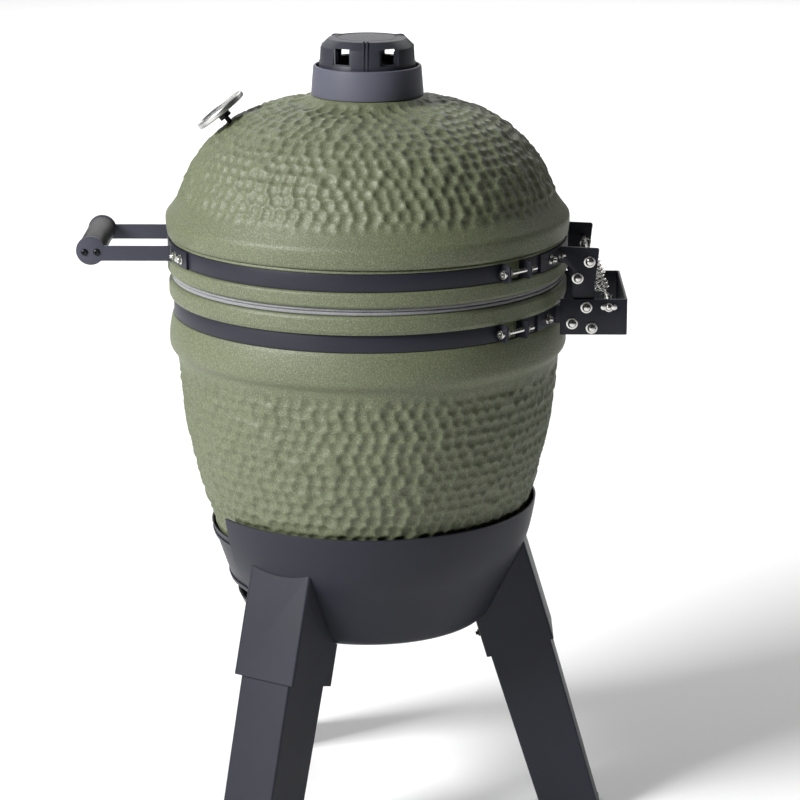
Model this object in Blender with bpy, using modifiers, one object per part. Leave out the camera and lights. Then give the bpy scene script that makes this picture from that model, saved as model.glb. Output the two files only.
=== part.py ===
"""Ceramic kamado grill on a three-legged steel cradle, built from its separate pieces.

Metres, +Z up.  The floor is z = 0, the front (handle, draft door) faces -Y and the hinge +Y.
The grill's own upright axis stands at y = AXIS_Y, so that the origin lies under the middle
of the whole object.  Heights called "rim heights" are counted from the lid's lower edge.
"""
import math

import bmesh
import bpy
from mathutils import Matrix, Vector

# ---------------------------------------------------------------- driving dimensions
RIM_Z = 0.780                 # height of the lid's lower edge above the floor
AXIS_Y = 0.020                # the grill's upright axis
SEGMENTS = 40                 # facets round the large turned pieces
FINE_SEGMENTS = 20            # facets round the small ones
GAP = 0.0003                  # clearance left between touching pieces

WALL = 0.022                  # ceramic thickness
LID_BULGE = 0.271             # largest radius of the lid
DOME_RADIUS = 0.2542          # dome radius where it leaves the moulding
DOME_FOOT = 0.098             # rim height of the dome's foot
DOME_RISE = 0.1294
DOME_POWER = 1.336
DOME_ROUND = 3.603
VENT_HOLE = 0.052

BAND_HEIGHT = 0.0236
BAND_THICK = 0.0025
UPPER_BAND_Z = 0.0208         # rim height of the upper band's lower edge
LOWER_BAND_Z = -0.0588
UPPER_SEAT = 0.2628           # radius of the ceramic under the upper band
LOWER_SEAT = 0.2589
BAND_SPLIT = 48.0             # degrees from the hinge to the front strap's ends
BAND_REAR = 41.0              # degrees from the hinge to the rear strap's ends
BRACKET_SPREAD = 32.0         # half angle of the hinge flanges on the bands

GASKET_THICK = 0.0046
GASKET_OUTER = 0.262
GASKET_INNER = 0.244
BASE_TOP = -0.0102            # rim height of the base's upper face
BASE_BOTTOM = -0.478

BOWL_WALL = 0.003
BOWL_RIM = 0.2298
CUT_HALF_ANGLE = 35.0         # the bowl's front cut-out
CUT_BOTTOM = -0.452
FRAME_TOP = -0.352            # the curved draft frame in the cut-out
FRAME_BOTTOM = -0.433
FRAME_RADIUS = 0.213          # its outer radius at rim height -0.36
FRAME_SLOPE = 0.34            # radius lost per metre going down
DRAFT_START = -28.0           # front angles of the draft opening, in degrees from -Y
DRAFT_END = -2.0
DRAFT_HEIGHTS = (-0.424, -0.372)        # rim heights of the hole in the base
FRAME_HEIGHTS = (-0.418, -0.374)        # and of the one in the frame
FRAME_HALF_ANGLE = 34.6
RAIL_HALF_ANGLE = 33.0
DOOR_LOW = -0.4225
DOOR_HIGH = -0.3690
DOOR_STAND_OFF = 0.0021       # the door's outer face in front of the frame's
KNOB_ANGLE = -27.0            # front angle of the door's knob

PIVOT = (0.2907, -0.0372)     # hinge pivot: (y from the grill axis, rim height)
HOOK_ROD = (0.2943, 0.0235)   # springs' upper rod
ANCHOR_ROD = (0.3204, -0.0372)
ROD_RADIUS = 0.003
BOX_HALF = 0.0905             # outer half width of the hinge box
BOX_REAR = 0.345
BOX_TOP = -0.0262
BOX_BOTTOM = -0.0745
PLATE_HALF = 0.0865           # outer half width of the lid's hinge plates
SHEET = 0.003
BOLT_HEAD = 0.0078            # head radius of the hinge's bolts and rods
SMALL_HEAD = 0.0060
SPRING_OFFSET = 0.045         # each spring's distance from the middle

HANDLE_Y = -0.3655            # centre of the grip
HANDLE_Z = 0.0341
HANDLE_DISC = 0.0193
ARM_HALF = 0.0745             # outer face of each arm
ARM_THICK = 0.004
ARM_TOP = 0.0405
ARM_BOTTOM = 0.0205
GRIP_RADIUS = 0.0178

LEG_LEAN = math.radians(16.75)
LEG_RADIUS = 0.2228           # leg axis radius at rim height LEG_REF
LEG_REF = -0.5727
SLEEVE_END = -0.529           # rim height of the sleeve's lower end, on the leg axis
SLEEVE_DEPTH = 0.096
SLEEVE_WIDTH = 0.0955
LEG_TAPER = 0.031             # depth lost per metre of leg
LEG_DEPTH = 0.0845
LEG_WIDTH = 0.0776
LEG_ANGLES = {"rear": 0.0, "front_right": 122.0, "front_left": 238.0}
FOOT_TOP = 0.0050             # the tubes end this high above the floor
LEG_BOLT_RISE = 0.022         # leg bolt's distance from the sleeve's end

VENT_RING_Z = 0.2329          # rim height of the vent ring's lower edge
VENT_SEGMENTS = 30
WINDOWS = 6                   # round the vent's sleeve and its cap
WINDOW_TURN = 28.7            # degrees from +X to the first window
WINDOW_WIDTH = 0.0215

DIAL_CENTRE = (-0.196, 0.2105)
DIAL_TILT = math.radians(51.5)
DIAL_RADIUS = 0.0375

# ---------------------------------------------------------------- scene and materials
for old in list(bpy.data.objects):
    bpy.data.objects.remove(old, do_unlink=True)

PARTS = bpy.data.collections.new("ceramic_kamado_grill")
CUTTERS = bpy.data.collections.new("cutters")
bpy.context.scene.collection.children.link(PARTS)
bpy.context.scene.collection.children.link(CUTTERS)


def material(name, color, roughness, metallic=0.0):
    """A Principled material with one colour."""
    made = bpy.data.materials.new(name)
    made.use_nodes = True
    shader = made.node_tree.nodes["Principled BSDF"]
    shader.inputs["Base Color"].default_value = (*color, 1.0)
    shader.inputs["Roughness"].default_value = roughness
    shader.inputs["Metallic"].default_value = metallic
    return made


FINISHES = {
    "glaze": ((0.12, 0.15, 0.07), 0.45, 0.0),
    "coat": ((0.045, 0.05, 0.065), 0.5, 0.3),
    "felt": ((0.12, 0.12, 0.13), 0.95, 0.0),
    "steel": ((0.7, 0.7, 0.7), 0.25, 1.0),
    "black": ((0.02, 0.02, 0.022), 0.6, 0.0),
    "firebrick": ((0.45, 0.36, 0.26), 0.9, 0.0),
    "iron": ((0.05, 0.05, 0.05), 0.7, 0.8),
    "white": ((0.85, 0.85, 0.83), 0.4, 0.0),
    "glass": ((0.9, 0.95, 0.95), 0.05, 0.0),
}

AXIS = bpy.data.objects.new("grill_axis", None)
AXIS.location = (0.0, AXIS_Y, RIM_Z)
PARTS.objects.link(AXIS)
LID_PIVOT = bpy.data.objects.new("lid_pivot", None)
LID_PIVOT.location = (0.0, PIVOT[0], PIVOT[1])
LID_PIVOT.parent = AXIS
PARTS.objects.link(LID_PIVOT)

# pieces that swing with the lid, hung on the hinge's axis
LID_PIECES = (
    "lid_shell", "lid_gasket", "upper_band_front", "upper_band_rear",
    "upper_band_bolt_left", "upper_band_bolt_right", "hinge_upper_bracket",
    "spring_hook_rod", "hinge_plate_bolt_left", "hinge_plate_bolt_right",
    "lift_spring_left", "lift_spring_right", "handle_bracket",
    "handle_arm_left", "handle_arm_right", "handle_grip", "vent_base", "vent_sleeve",
    "thermometer_case", "thermometer_dial", "thermometer_glass", "thermometer_stem",
)


def place(thing, parent=AXIS, finish=None, collection=PARTS):
    """Links an object, gives it its own material and hangs it on its parent."""
    collection.objects.link(thing)
    thing.parent = parent
    if finish is not None:
        thing.data.materials.append(material(thing.name + "_finish", *FINISHES[finish]))
    return thing


def mesh_object(name, shape, parent=AXIS, finish=None, collection=PARTS):
    """Makes an object from a bmesh."""
    data = bpy.data.meshes.new(name)
    shape.to_mesh(data)
    shape.free()
    data.set_sharp_from_angle(angle=math.radians(35))
    return place(bpy.data.objects.new(name, data), parent, finish, collection)


def bake(thing):
    """Turns an object with modifiers, or a curve, into a plain welded mesh object."""
    bpy.context.view_layer.update()
    ready = thing.evaluated_get(bpy.context.evaluated_depsgraph_get())
    data = bpy.data.meshes.new_from_object(ready)
    shape = bmesh.new()
    shape.from_mesh(data)
    bmesh.ops.remove_doubles(shape, verts=shape.verts, dist=1e-6)
    bmesh.ops.transform(shape, matrix=thing.matrix_basis, verts=shape.verts)
    name = thing.name
    finish = thing.active_material
    home = thing.users_collection[0]
    parent = thing.parent
    bpy.data.objects.remove(thing, do_unlink=True)
    fresh = mesh_object(name, shape, parent, None, home)
    if finish is not None:
        fresh.data.materials.clear()
        fresh.data.materials.append(finish)
    fresh.name = name
    return fresh


def hide(cutter):
    """Marks an object as a cutter."""
    cutter.hide_render = True
    cutter.display_type = "WIRE"
    return cutter


def combine(target, other, operation):
    """Cuts or joins another object into a target with a Boolean modifier."""
    step = target.modifiers.new(operation.lower(), "BOOLEAN")
    step.operation = operation
    step.solver = "EXACT"
    step.object = hide(other)
    return target


# ---------------------------------------------------------------- shape makers
def turned(name, outline, finish=None, segments=SEGMENTS, closed=True, parent=AXIS,
           sweep=360.0, start=0.0, collection=PARTS):
    """Screws an (r, z) outline round the upright axis; it runs down its outer side."""
    shape = bmesh.new()
    corners = [shape.verts.new((radius, 0.0, height)) for radius, height in outline]
    for first, second in zip(corners, corners[1:]):
        shape.edges.new((first, second))
    if closed:
        shape.edges.new((corners[-1], corners[0]))
    bmesh.ops.rotate(shape, verts=shape.verts, matrix=Matrix.Rotation(math.radians(start), 3, "Z"))
    thing = mesh_object(name, shape, parent, finish, collection)
    screw = thing.modifiers.new("screw", "SCREW")
    screw.angle = math.radians(sweep)
    screw.steps = segments
    screw.render_steps = segments
    screw.use_merge_vertices = True
    screw.merge_threshold = 0.00001
    return thing


def flat_curve(name, outlines, thick, finish=None, parent=AXIS, collection=PARTS):
    """A flat outline, with any holes after it, extruded to a thickness about its plane."""
    data = bpy.data.curves.new(name, "CURVE")
    data.dimensions = "2D"
    data.fill_mode = "BOTH"
    data.extrude = thick / 2
    for outline in outlines:
        spline = data.splines.new("POLY")
        spline.points.add(len(outline) - 1)
        for point, (x, y) in zip(spline.points, outline):
            point.co = (x, y, 0.0, 1.0)
        spline.use_cyclic_u = True
    return place(bpy.data.objects.new(name, data), parent, finish, collection)


def sector_outline(inner, outer, start, end, step=360.0 / SEGMENTS):
    """A ring sector in plan; angles in degrees from +X, points on the shells' own facets."""
    angles = [start]
    angles += [k * step for k in range(math.ceil(start / step), math.floor(end / step) + 1)
               if start < k * step < end]
    angles.append(end)
    turn = [math.radians(angle) for angle in angles]
    out = [(outer * math.cos(a), outer * math.sin(a)) for a in turn]
    back = [(inner * math.cos(a), inner * math.sin(a)) for a in reversed(turn)]
    return out + back


def sector(name, inner, outer, start, end, bottom, top, finish=None, **options):
    """A ring sector standing between two rim heights."""
    thing = flat_curve(name, [sector_outline(inner, outer, start, end)], top - bottom,
                       finish, **options)
    thing.location.z = (top + bottom) / 2
    return thing


def rounded(corners, radius, points=4):
    """Rounds every corner of a closed outline with a small arc."""
    result = []
    count = len(corners)
    for index, corner in enumerate(corners):
        here = Vector(corner)
        back = (Vector(corners[index - 1]) - here).normalized()
        ahead = (Vector(corners[(index + 1) % count]) - here).normalized()
        half = back.angle(ahead) / 2
        inset = radius / math.tan(half)
        centre = here + (back + ahead).normalized() * (radius / math.sin(half))
        start = here + back * inset - centre
        turn = start.angle_signed(here + ahead * inset - centre)
        for step in range(points + 1):
            spin = Matrix.Rotation(-turn * step / points, 2)
            result.append(tuple(centre + spin @ start))
    return result


def side_plate(name, outline, outer_x, thick, finish=None, **options):
    """A flat (y, z) outline standing upright, its face away from the middle at outer_x."""
    thing = flat_curve(name, [outline], thick, finish, **options)
    side = 1.0 if outer_x > 0 else -1.0
    thing.rotation_euler = (math.pi / 2, 0.0, math.pi / 2)
    thing.location.x = outer_x - side * thick / 2
    return thing


def box(shape, low, high):
    """Adds a box to a bmesh."""
    size = [b - a for a, b in zip(low, high)]
    middle = [(a + b) / 2 for a, b in zip(low, high)]
    matrix = Matrix.Translation(middle) @ Matrix.Diagonal((*size, 1.0))
    bmesh.ops.create_cube(shape, size=1.0, matrix=matrix)


def rod(shape, start, end, radius, sides=12):
    """Adds a plain round rod between two points to a bmesh."""
    start, end = Vector(start), Vector(end)
    along = end - start
    turn = along.to_track_quat("Z", "Y").to_matrix().to_4x4()
    matrix = Matrix.Translation((start + end) / 2) @ turn
    bmesh.ops.create_cone(shape, cap_ends=True, segments=sides, radius1=radius, radius2=radius,
                          depth=along.length, matrix=matrix)


def revolve(outline, place_at, along, segments=12):
    """Spins an (r, height) outline, top to bottom, into a bmesh about any axis."""
    shape = bmesh.new()
    corners = [shape.verts.new((radius, 0.0, height)) for radius, height in outline]
    edges = [shape.edges.new(pair) for pair in zip(corners, corners[1:])]
    bmesh.ops.spin(shape, geom=corners + edges, cent=(0, 0, 0), axis=(0, 0, 1),
                   angle=math.tau, steps=segments, use_merge=True)
    bmesh.ops.remove_doubles(shape, verts=shape.verts, dist=1e-6)
    bmesh.ops.recalc_face_normals(shape, faces=shape.faces)
    turn = Vector(along).to_track_quat("Z", "Y").to_matrix().to_4x4()
    bmesh.ops.transform(shape, matrix=Matrix.Translation(place_at) @ turn, verts=shape.verts)
    return shape


def add(shape, other):
    """Moves all of one bmesh into another."""
    data = bpy.data.meshes.new("scratch")
    other.to_mesh(data)
    other.free()
    shape.from_mesh(data)
    bpy.data.meshes.remove(data)


def dome_head(radius, seat):
    """Outline of a domed head with its washer, from its top down to its seat."""
    return [(0.0, seat + 0.0062), (radius * 0.6, seat + 0.0055), (radius * 0.8, seat + 0.0030),
            (radius, seat + 0.0012), (radius, seat)]


def cap_bolt(name, at, along, radius, finish="steel"):
    """A dome-headed bolt whose head stands along the given direction."""
    outline = dome_head(radius, GAP) + [(0.0, GAP)]
    mesh_object(name, revolve(outline, at, along, 10), finish=finish)


def headed_rod(name, reach, at, radius, head, finish="steel"):
    """A cross rod along X with a domed head outside the sheet at each end."""
    top = dome_head(head, reach + GAP)
    bottom = [(r, -z) for r, z in reversed(top)]
    outline = top + [(radius, reach + GAP), (radius, -reach - GAP)] + bottom
    mesh_object(name, revolve(outline, (0.0, *at), (1.0, 0.0, 0.0), 12), finish=finish)


# ---------------------------------------------------------------- ceramic profiles
def dome_radius(height, radius=DOME_RADIUS, foot=DOME_FOOT, rise=DOME_RISE):
    """Dome radius at a rim height."""
    share = min(max((height - foot) / rise, 0.0), 1.0)
    return radius * (1.0 - share ** DOME_POWER) ** (1.0 / DOME_ROUND)


def body_radius(height):
    """Outer radius of the base below its moulding, at a rim height."""
    depth = -(height + 0.085)
    return 0.2580 + 0.0142 * depth - 0.7238 * depth * depth


def lid_outline():
    """The lid's closed wall section: down the outside, up the inside."""
    outline = [(VENT_HOLE, VENT_RING_Z - GAP), (0.0745, VENT_RING_Z - GAP), (0.0765, 0.2292)]
    for share in (0.985, 0.95, 0.89, 0.80, 0.68, 0.53, 0.36, 0.18, 0.05):
        height = DOME_FOOT + DOME_RISE * share
        outline.append((dome_radius(height), height))
    outline += [(0.2570, 0.0925), (0.2655, 0.0815), (0.2705, 0.0750), (LID_BULGE, 0.0660),
                (0.2690, 0.0520), (0.2655, 0.0447)]
    outline += [(UPPER_SEAT, 0.0447), (UPPER_SEAT, 0.0205)]
    outline += [(0.2672, 0.0203), (0.2690, 0.0160), (0.2690, 0.0050), (0.2668, 0.0010),
                (0.2630, 0.0)]
    inner = LID_BULGE - 0.031
    outline += [(inner, 0.0), (inner, 0.0700)]
    for share in (0.15, 0.40, 0.65, 0.85, 0.97):
        height = 0.085 + 0.119 * share
        outline.append((dome_radius(height, 0.2322, 0.085, 0.119), height))
    outline.append((VENT_HOLE, 0.2035))
    return outline


def base_outline():
    """The base's closed wall section, with its floor."""
    outline = [(0.2610, BASE_TOP), (0.2655, -0.0125), (0.2672, -0.0180), (0.2672, -0.0310),
               (0.2650, -0.0349), (LOWER_SEAT, -0.0349), (LOWER_SEAT, -0.0590),
               (0.2640, -0.0592), (0.2666, -0.0740), (0.2680, -0.0830), (0.2680, -0.0990),
               (0.2646, -0.1080), (0.2600, -0.1160), (0.2575, -0.1250)]
    for height in (-0.18, -0.24, -0.30, -0.36, -0.41, -0.45):
        outline.append((body_radius(height), height))
    outline += [(0.1500, BASE_BOTTOM), (0.0, BASE_BOTTOM), (0.0, BASE_BOTTOM + WALL)]
    outline.append((0.1400, BASE_BOTTOM + WALL))
    for height in (-0.41, -0.35, -0.28, -0.20, -0.13):
        outline.append((body_radius(height) - WALL, height))
    outline.append((0.2400, -0.0900))
    outline.append((0.2400, BASE_TOP))
    return outline


BOWL = [(BOWL_RIM, -0.318), (0.2278, -0.333), (0.2213, -0.363), (0.2125, -0.388),
        (0.1983, -0.416), (0.1826, -0.448), (0.1709, -0.472), (0.1620, -0.484), (0.1500, -0.489)]


def bowl_outline():
    """The cradle bowl's closed wall section."""
    inside = [(radius - BOWL_WALL, height + BOWL_WALL * 0.35) for radius, height in BOWL[1:-1]]
    outline = BOWL + [(0.0, BOWL[-1][1]), (0.0, BOWL[-1][1] + BOWL_WALL)]
    outline.append((BOWL[-1][0] - 0.001, BOWL[-1][1] + BOWL_WALL))
    outline += reversed(inside)
    outline.append((BOWL_RIM - BOWL_WALL, BOWL[0][1]))
    return outline


def wedge(name, inner, outer, half_start, half_end, bottom, top):
    """A cutter covering front angles from half_start to half_end, in degrees from -Y."""
    return bake(sector(name, inner, outer, 270.0 + half_start, 270.0 + half_end, bottom, top,
                       collection=CUTTERS))


def build_base():
    """The ceramic base with its draft hole, the felt under it and the gasket on it."""
    base = turned("base_shell", base_outline(), "glaze")
    combine(base, wedge("base_draft_cut", 0.120, 0.235, DRAFT_START, DRAFT_END,
                        *DRAFT_HEIGHTS), "DIFFERENCE")
    turned("base_gasket", [(GASKET_OUTER, BASE_TOP + GAP + GASKET_THICK),
                           (GASKET_OUTER, BASE_TOP + GAP), (GASKET_INNER, BASE_TOP + GAP),
                           (GASKET_INNER, BASE_TOP + GAP + GASKET_THICK)], "felt")
    bottom, top = BOWL[-1][1] + BOWL_WALL + GAP, BASE_BOTTOM - GAP
    turned("cradle_pad", [(0.130, top), (0.130, bottom), (0.100, bottom), (0.100, top)],
           "felt", 32)


def build_firebox():
    """Ceramic fire box and ring with the two grates they carry."""
    floor = BASE_BOTTOM + WALL + GAP
    outline = [(0.217, -0.2003), (0.212, -0.2500), (0.196, -0.3100), (0.170, -0.3700),
               (0.152, -0.4100), (0.130, floor), (0.085, floor), (0.110, -0.3880),
               (0.135, -0.3880), (0.151, -0.3700), (0.178, -0.3100), (0.194, -0.2500),
               (0.198, -0.2003)]
    fire_box = turned("fire_box", outline, "firebrick", 32)
    notch = wedge("fire_box_cut", 0.05, 0.20, -26.0, 26.0, -0.440, -0.400)
    combine(fire_box, notch, "DIFFERENCE")
    turned("fire_ring", [(0.218, -0.1100), (0.218, -0.2000), (0.198, -0.2000), (0.196, -0.1100)],
           "firebrick", 32)
    lattice("charcoal_grate", 0.131, -0.3877, 0.006, 0.018, 0.012, "iron")
    lattice("cooking_grate", 0.226, -0.1097, 0.005, 0.026, 0.018, "steel")


def lattice(name, radius, bottom, thick, pitch, slot, finish):
    """A round grate: a disc with parallel slots either side of a cross bar."""
    rim = radius - 0.008
    steps = 32
    turns = [math.tau * step / steps for step in range(steps)]
    outlines = [[(radius * math.cos(turn), radius * math.sin(turn)) for turn in turns]]
    count = int((rim - slot / 2) / pitch)
    for index in range(-count, count + 1):
        middle = index * pitch
        reach = math.sqrt(rim * rim - (abs(middle) + slot / 2) ** 2)
        if reach < 0.02:
            continue
        for side in (-1, 1):
            near, far = side * 0.005, side * reach
            outlines.append([(middle - slot / 2, near), (middle + slot / 2, near),
                             (middle + slot / 2, far), (middle - slot / 2, far)])
    grate = flat_curve(name, outlines, thick, finish)
    grate.location.z = bottom + thick / 2


def bowl_cutter(name):
    """The bowl's outside plus clearance, solid to above the rim."""
    outside = [(radius + GAP, height - GAP) for radius, height in BOWL]
    outline = [(0.0, -0.20), (0.26, -0.20), (0.26, -0.31)] + outside + [(0.0, BOWL[-1][1] - GAP)]
    return bake(turned(name, outline, closed=False, collection=CUTTERS))


def leg_matrix(angle):
    """Leg frame: local Z up along the leg, local Y outwards, origin on the leg axis."""
    spin = Matrix.Rotation(-math.radians(angle), 4, "Z")
    shift = Matrix.Translation((0.0, LEG_RADIUS, LEG_REF))
    return spin @ shift @ Matrix.Rotation(LEG_LEAN, 4, "X")


def along_leg(rim_height):
    """Local height on the leg axis of a rim height."""
    return (rim_height - LEG_REF) / math.cos(LEG_LEAN)


def square_tube(name, width, ends, finish, matrix, wall, grow=0.0):
    """An open square tube; ends are (local height, depth) from the top down."""
    shape = bmesh.new()
    rings = []
    for height, depth in ends:
        across, deep = width / 2 + grow * height, depth / 2
        corners = [(-across, -deep), (across, -deep), (across, deep), (-across, deep)]
        rings.append([shape.verts.new((x, y, height)) for x, y in corners])
    for upper, lower in zip(rings, rings[1:]):
        for index in range(4):
            after = (index + 1) % 4
            shape.faces.new((upper[index], lower[index], lower[after], upper[after]))
    bmesh.ops.recalc_face_normals(shape, faces=shape.faces)
    bmesh.ops.transform(shape, matrix=matrix, verts=shape.verts)
    tube = mesh_object(name, shape, finish=finish)
    skin = tube.modifiers.new("wall", "SOLIDIFY")
    skin.thickness = wall
    skin.offset = -1.0
    skin.use_even_offset = True
    return tube


def slab(name, bottom, top, collection=CUTTERS):
    """A wide flat cutter between two rim heights."""
    shape = bmesh.new()
    box(shape, (-0.6, -0.6, bottom), (0.6, 0.6, top))
    return mesh_object(name, shape, collection=collection)


def build_legs():
    """Sleeves welded to the bowl, tapered tubes in them, feet and their bolts."""
    cutter = bowl_cutter("bowl_cut")
    floor = slab("floor_cut", -RIM_Z - 0.20, -RIM_Z + FOOT_TOP)
    foot_top = slab("foot_top_cut", -RIM_Z + FOOT_TOP - GAP, -RIM_Z + 0.20)
    foot_bottom = slab("foot_bottom_cut", -RIM_Z - 0.20, -RIM_Z)
    for where, angle in LEG_ANGLES.items():
        matrix = leg_matrix(angle)
        low = along_leg(SLEEVE_END)
        sleeve = square_tube("leg_sleeve_" + where, SLEEVE_WIDTH,
                             [(low + 0.26, SLEEVE_DEPTH), (low, SLEEVE_DEPTH)],
                             "coat", matrix, 0.003)
        combine(sleeve, cutter, "DIFFERENCE")
        top, bottom = along_leg(-0.497), along_leg(-0.82)
        ends = [(top, LEG_DEPTH + LEG_TAPER * top), (bottom, LEG_DEPTH + LEG_TAPER * bottom)]
        tube = square_tube("leg_tube_" + where, LEG_WIDTH, ends, "coat", matrix, 0.002, 0.004)
        combine(tube, floor, "DIFFERENCE")
        foot = bmesh.new()
        depth = ends[1][1]
        box(foot, (-LEG_WIDTH / 2, -depth / 2 - 0.001, along_leg(-0.85)),
            (LEG_WIDTH / 2, depth / 2 + 0.001, along_leg(-0.74)))
        bmesh.ops.transform(foot, matrix=matrix, verts=foot.verts)
        cap = mesh_object("foot_cap_" + where, foot, finish="black")
        combine(cap, foot_top, "DIFFERENCE")
        combine(cap, foot_bottom, "DIFFERENCE")
        head = matrix @ Vector((0.0, -SLEEVE_DEPTH / 2, low + LEG_BOLT_RISE))
        inward = matrix.to_3x3() @ Vector((0.0, -1.0, 0.0))
        cap_bolt("leg_bolt_" + where, head, inward, SMALL_HEAD, "black")


def cone_radius(height, outside=0.0):
    """Radius of the draft frame's outer face at a rim height."""
    return FRAME_RADIUS + FRAME_SLOPE * (height + 0.36) + outside


def curved_plate(name, start, end, bottom, top, outside, thick, finish, parent=AXIS):
    """A plate bent round the grill, between front angles in degrees from -Y."""
    outline = [(cone_radius(top, outside), top), (cone_radius(bottom, outside), bottom)]
    steps = max(4, round((end - start) / 5))
    plate = turned(name, outline, finish, steps, False, parent, end - start, 270.0 + start)
    skin = plate.modifiers.new("wall", "SOLIDIFY")
    skin.thickness = thick
    skin.offset = -1.0
    return plate


def build_bowl():
    """The cradle bowl, its draft frame and the sliding draft door."""
    bowl = turned("cradle_bowl", bowl_outline(), "coat")
    combine(bowl, wedge("bowl_front_cut", 0.10, 0.30, -CUT_HALF_ANGLE, CUT_HALF_ANGLE,
                        CUT_BOTTOM, -0.25), "DIFFERENCE")
    frame = curved_plate("draft_frame", -FRAME_HALF_ANGLE, FRAME_HALF_ANGLE, FRAME_BOTTOM,
                         FRAME_TOP, 0.0, 0.002, "coat")
    combine(frame, wedge("frame_draft_cut", 0.15, 0.26, DRAFT_START, DRAFT_END, *FRAME_HEIGHTS),
            "DIFFERENCE")
    curved_plate("draft_door", DRAFT_START - 3.0, DRAFT_END + 3.0, DOOR_LOW, DOOR_HIGH,
                 DOOR_STAND_OFF, 0.0015, "steel")
    for name, low, high in (("draft_rail_upper", DOOR_HIGH + 0.0015, DOOR_HIGH + 0.0075),
                            ("draft_rail_lower", DOOR_LOW - 0.0075, DOOR_LOW - 0.0015)):
        rail = curved_plate(name, -RAIL_HALF_ANGLE, RAIL_HALF_ANGLE, low, high, DOOR_STAND_OFF,
                            0.0025, None)
        combine(frame, bake(rail), "UNION")
    knob_turn = math.radians(270.0 + KNOB_ANGLE)
    knob_z = (DOOR_LOW + DOOR_HIGH) / 2
    radius = cone_radius(knob_z, DOOR_STAND_OFF)
    out = Vector((math.cos(knob_turn), math.sin(knob_turn), 0.0))
    outline = [(0.0, 0.0140), (0.0055, 0.0140), (0.0065, 0.0120), (0.0065, 0.0080),
               (0.0035, 0.0065), (0.0035, 0.0022), (0.0, 0.0022)]
    knob = revolve(outline, out * radius + Vector((0, 0, knob_z)), out, 14)
    mesh_object("draft_door_knob", knob, finish="black")


# ---------------------------------------------------------------- bands and hinge
def lug_outline(radius, angle):
    """A small upright block across a strap's end, in plan, degrees from the hinge."""
    turn = math.radians(90.0 - angle)
    out = Vector((math.cos(turn), math.sin(turn)))
    side = Vector((-out.y, out.x)) * 0.0018
    inner, outer = out * radius, out * (radius + 0.017)
    return [tuple(inner - side), tuple(outer - side), tuple(outer + side), tuple(inner + side)]


def strap(name, seat, bottom, start, end, lugs):
    """A strap round the ceramic with an upright lug joined on at each listed angle."""
    inner = seat + GAP
    outer = inner + BAND_THICK
    band = bake(sector(name, inner, outer, start, end, bottom + GAP, bottom + BAND_HEIGHT - GAP,
                       "coat"))
    for index, angle in enumerate(lugs):
        ear = flat_curve(f"{name}_lug_{index}", [lug_outline(inner + 0.0008, angle)], 0.0186,
                         collection=CUTTERS)
        ear.location.z = bottom + BAND_HEIGHT / 2
        combine(band, bake(ear), "UNION")
    return band


def tension_line(seat, bottom, side):
    """Ends of a tension bolt's axis at the two lugs, front lug first."""
    ends = []
    for angle in (BAND_SPLIT + 0.5, BAND_REAR - 0.5):
        turn = math.radians(90.0 - side * angle)
        reach = seat + 0.0118
        ends.append(Vector((reach * math.cos(turn), reach * math.sin(turn),
                            bottom + BAND_HEIGHT / 2)))
    return ends


def tension_bolt(name, seat, bottom, side):
    """A bolt through both lugs with its head in front and its nut behind."""
    front, rear = tension_line(seat, bottom, side)
    span = (rear - front).length
    grip = 0.0027
    outline = [(0.0, grip + 0.0062), (0.0060, grip + 0.0062), (0.0060, grip), (0.0028, grip),
               (0.0028, -span - grip), (0.0058, -span - grip), (0.0058, -span - grip - 0.006),
               (0.0028, -span - grip - 0.006), (0.0028, -span - 0.016), (0.0, -span - 0.016)]
    mesh_object(name, revolve(outline, front, front - rear, 10), finish="steel")


def build_bands():
    """Front and rear straps of both bands with their tension bolts."""
    for label, seat, bottom in (("upper", UPPER_SEAT, UPPER_BAND_Z),
                                ("lower", LOWER_SEAT, LOWER_BAND_Z)):
        front = strap(label + "_band_front", seat, bottom, 90.0 + BAND_SPLIT, 450.0 - BAND_SPLIT,
                      (BAND_SPLIT + 0.5, -BAND_SPLIT - 0.5))
        rear = strap(label + "_band_rear", seat, bottom, 90.0 - BAND_REAR, 90.0 + BAND_REAR,
                     (BAND_REAR - 0.5, -BAND_REAR + 0.5))
        for side, word in ((-1, "left"), (1, "right")):
            start, end = tension_line(seat, bottom, side)
            along = (end - start).normalized() * 0.01
            hole = bmesh.new()
            rod(hole, start - along, end + along, 0.0031, 10)
            drill = mesh_object(f"{label}_{word}_lug_hole", hole, collection=CUTTERS)
            combine(front, drill, "DIFFERENCE")
            combine(rear, drill, "DIFFERENCE")
            tension_bolt(f"{label}_band_bolt_{word}", seat, bottom, side)


def cross_hole(target, at, radius):
    """Drills a round hole along X right through a piece, at (y, rim height)."""
    shape = bmesh.new()
    rod(shape, (-0.12, *at), (0.12, *at), radius, 12)
    drill = mesh_object(f"{target.name}_hole_{radius:.4f}", shape, collection=CUTTERS)
    combine(target, drill, "DIFFERENCE")


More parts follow.
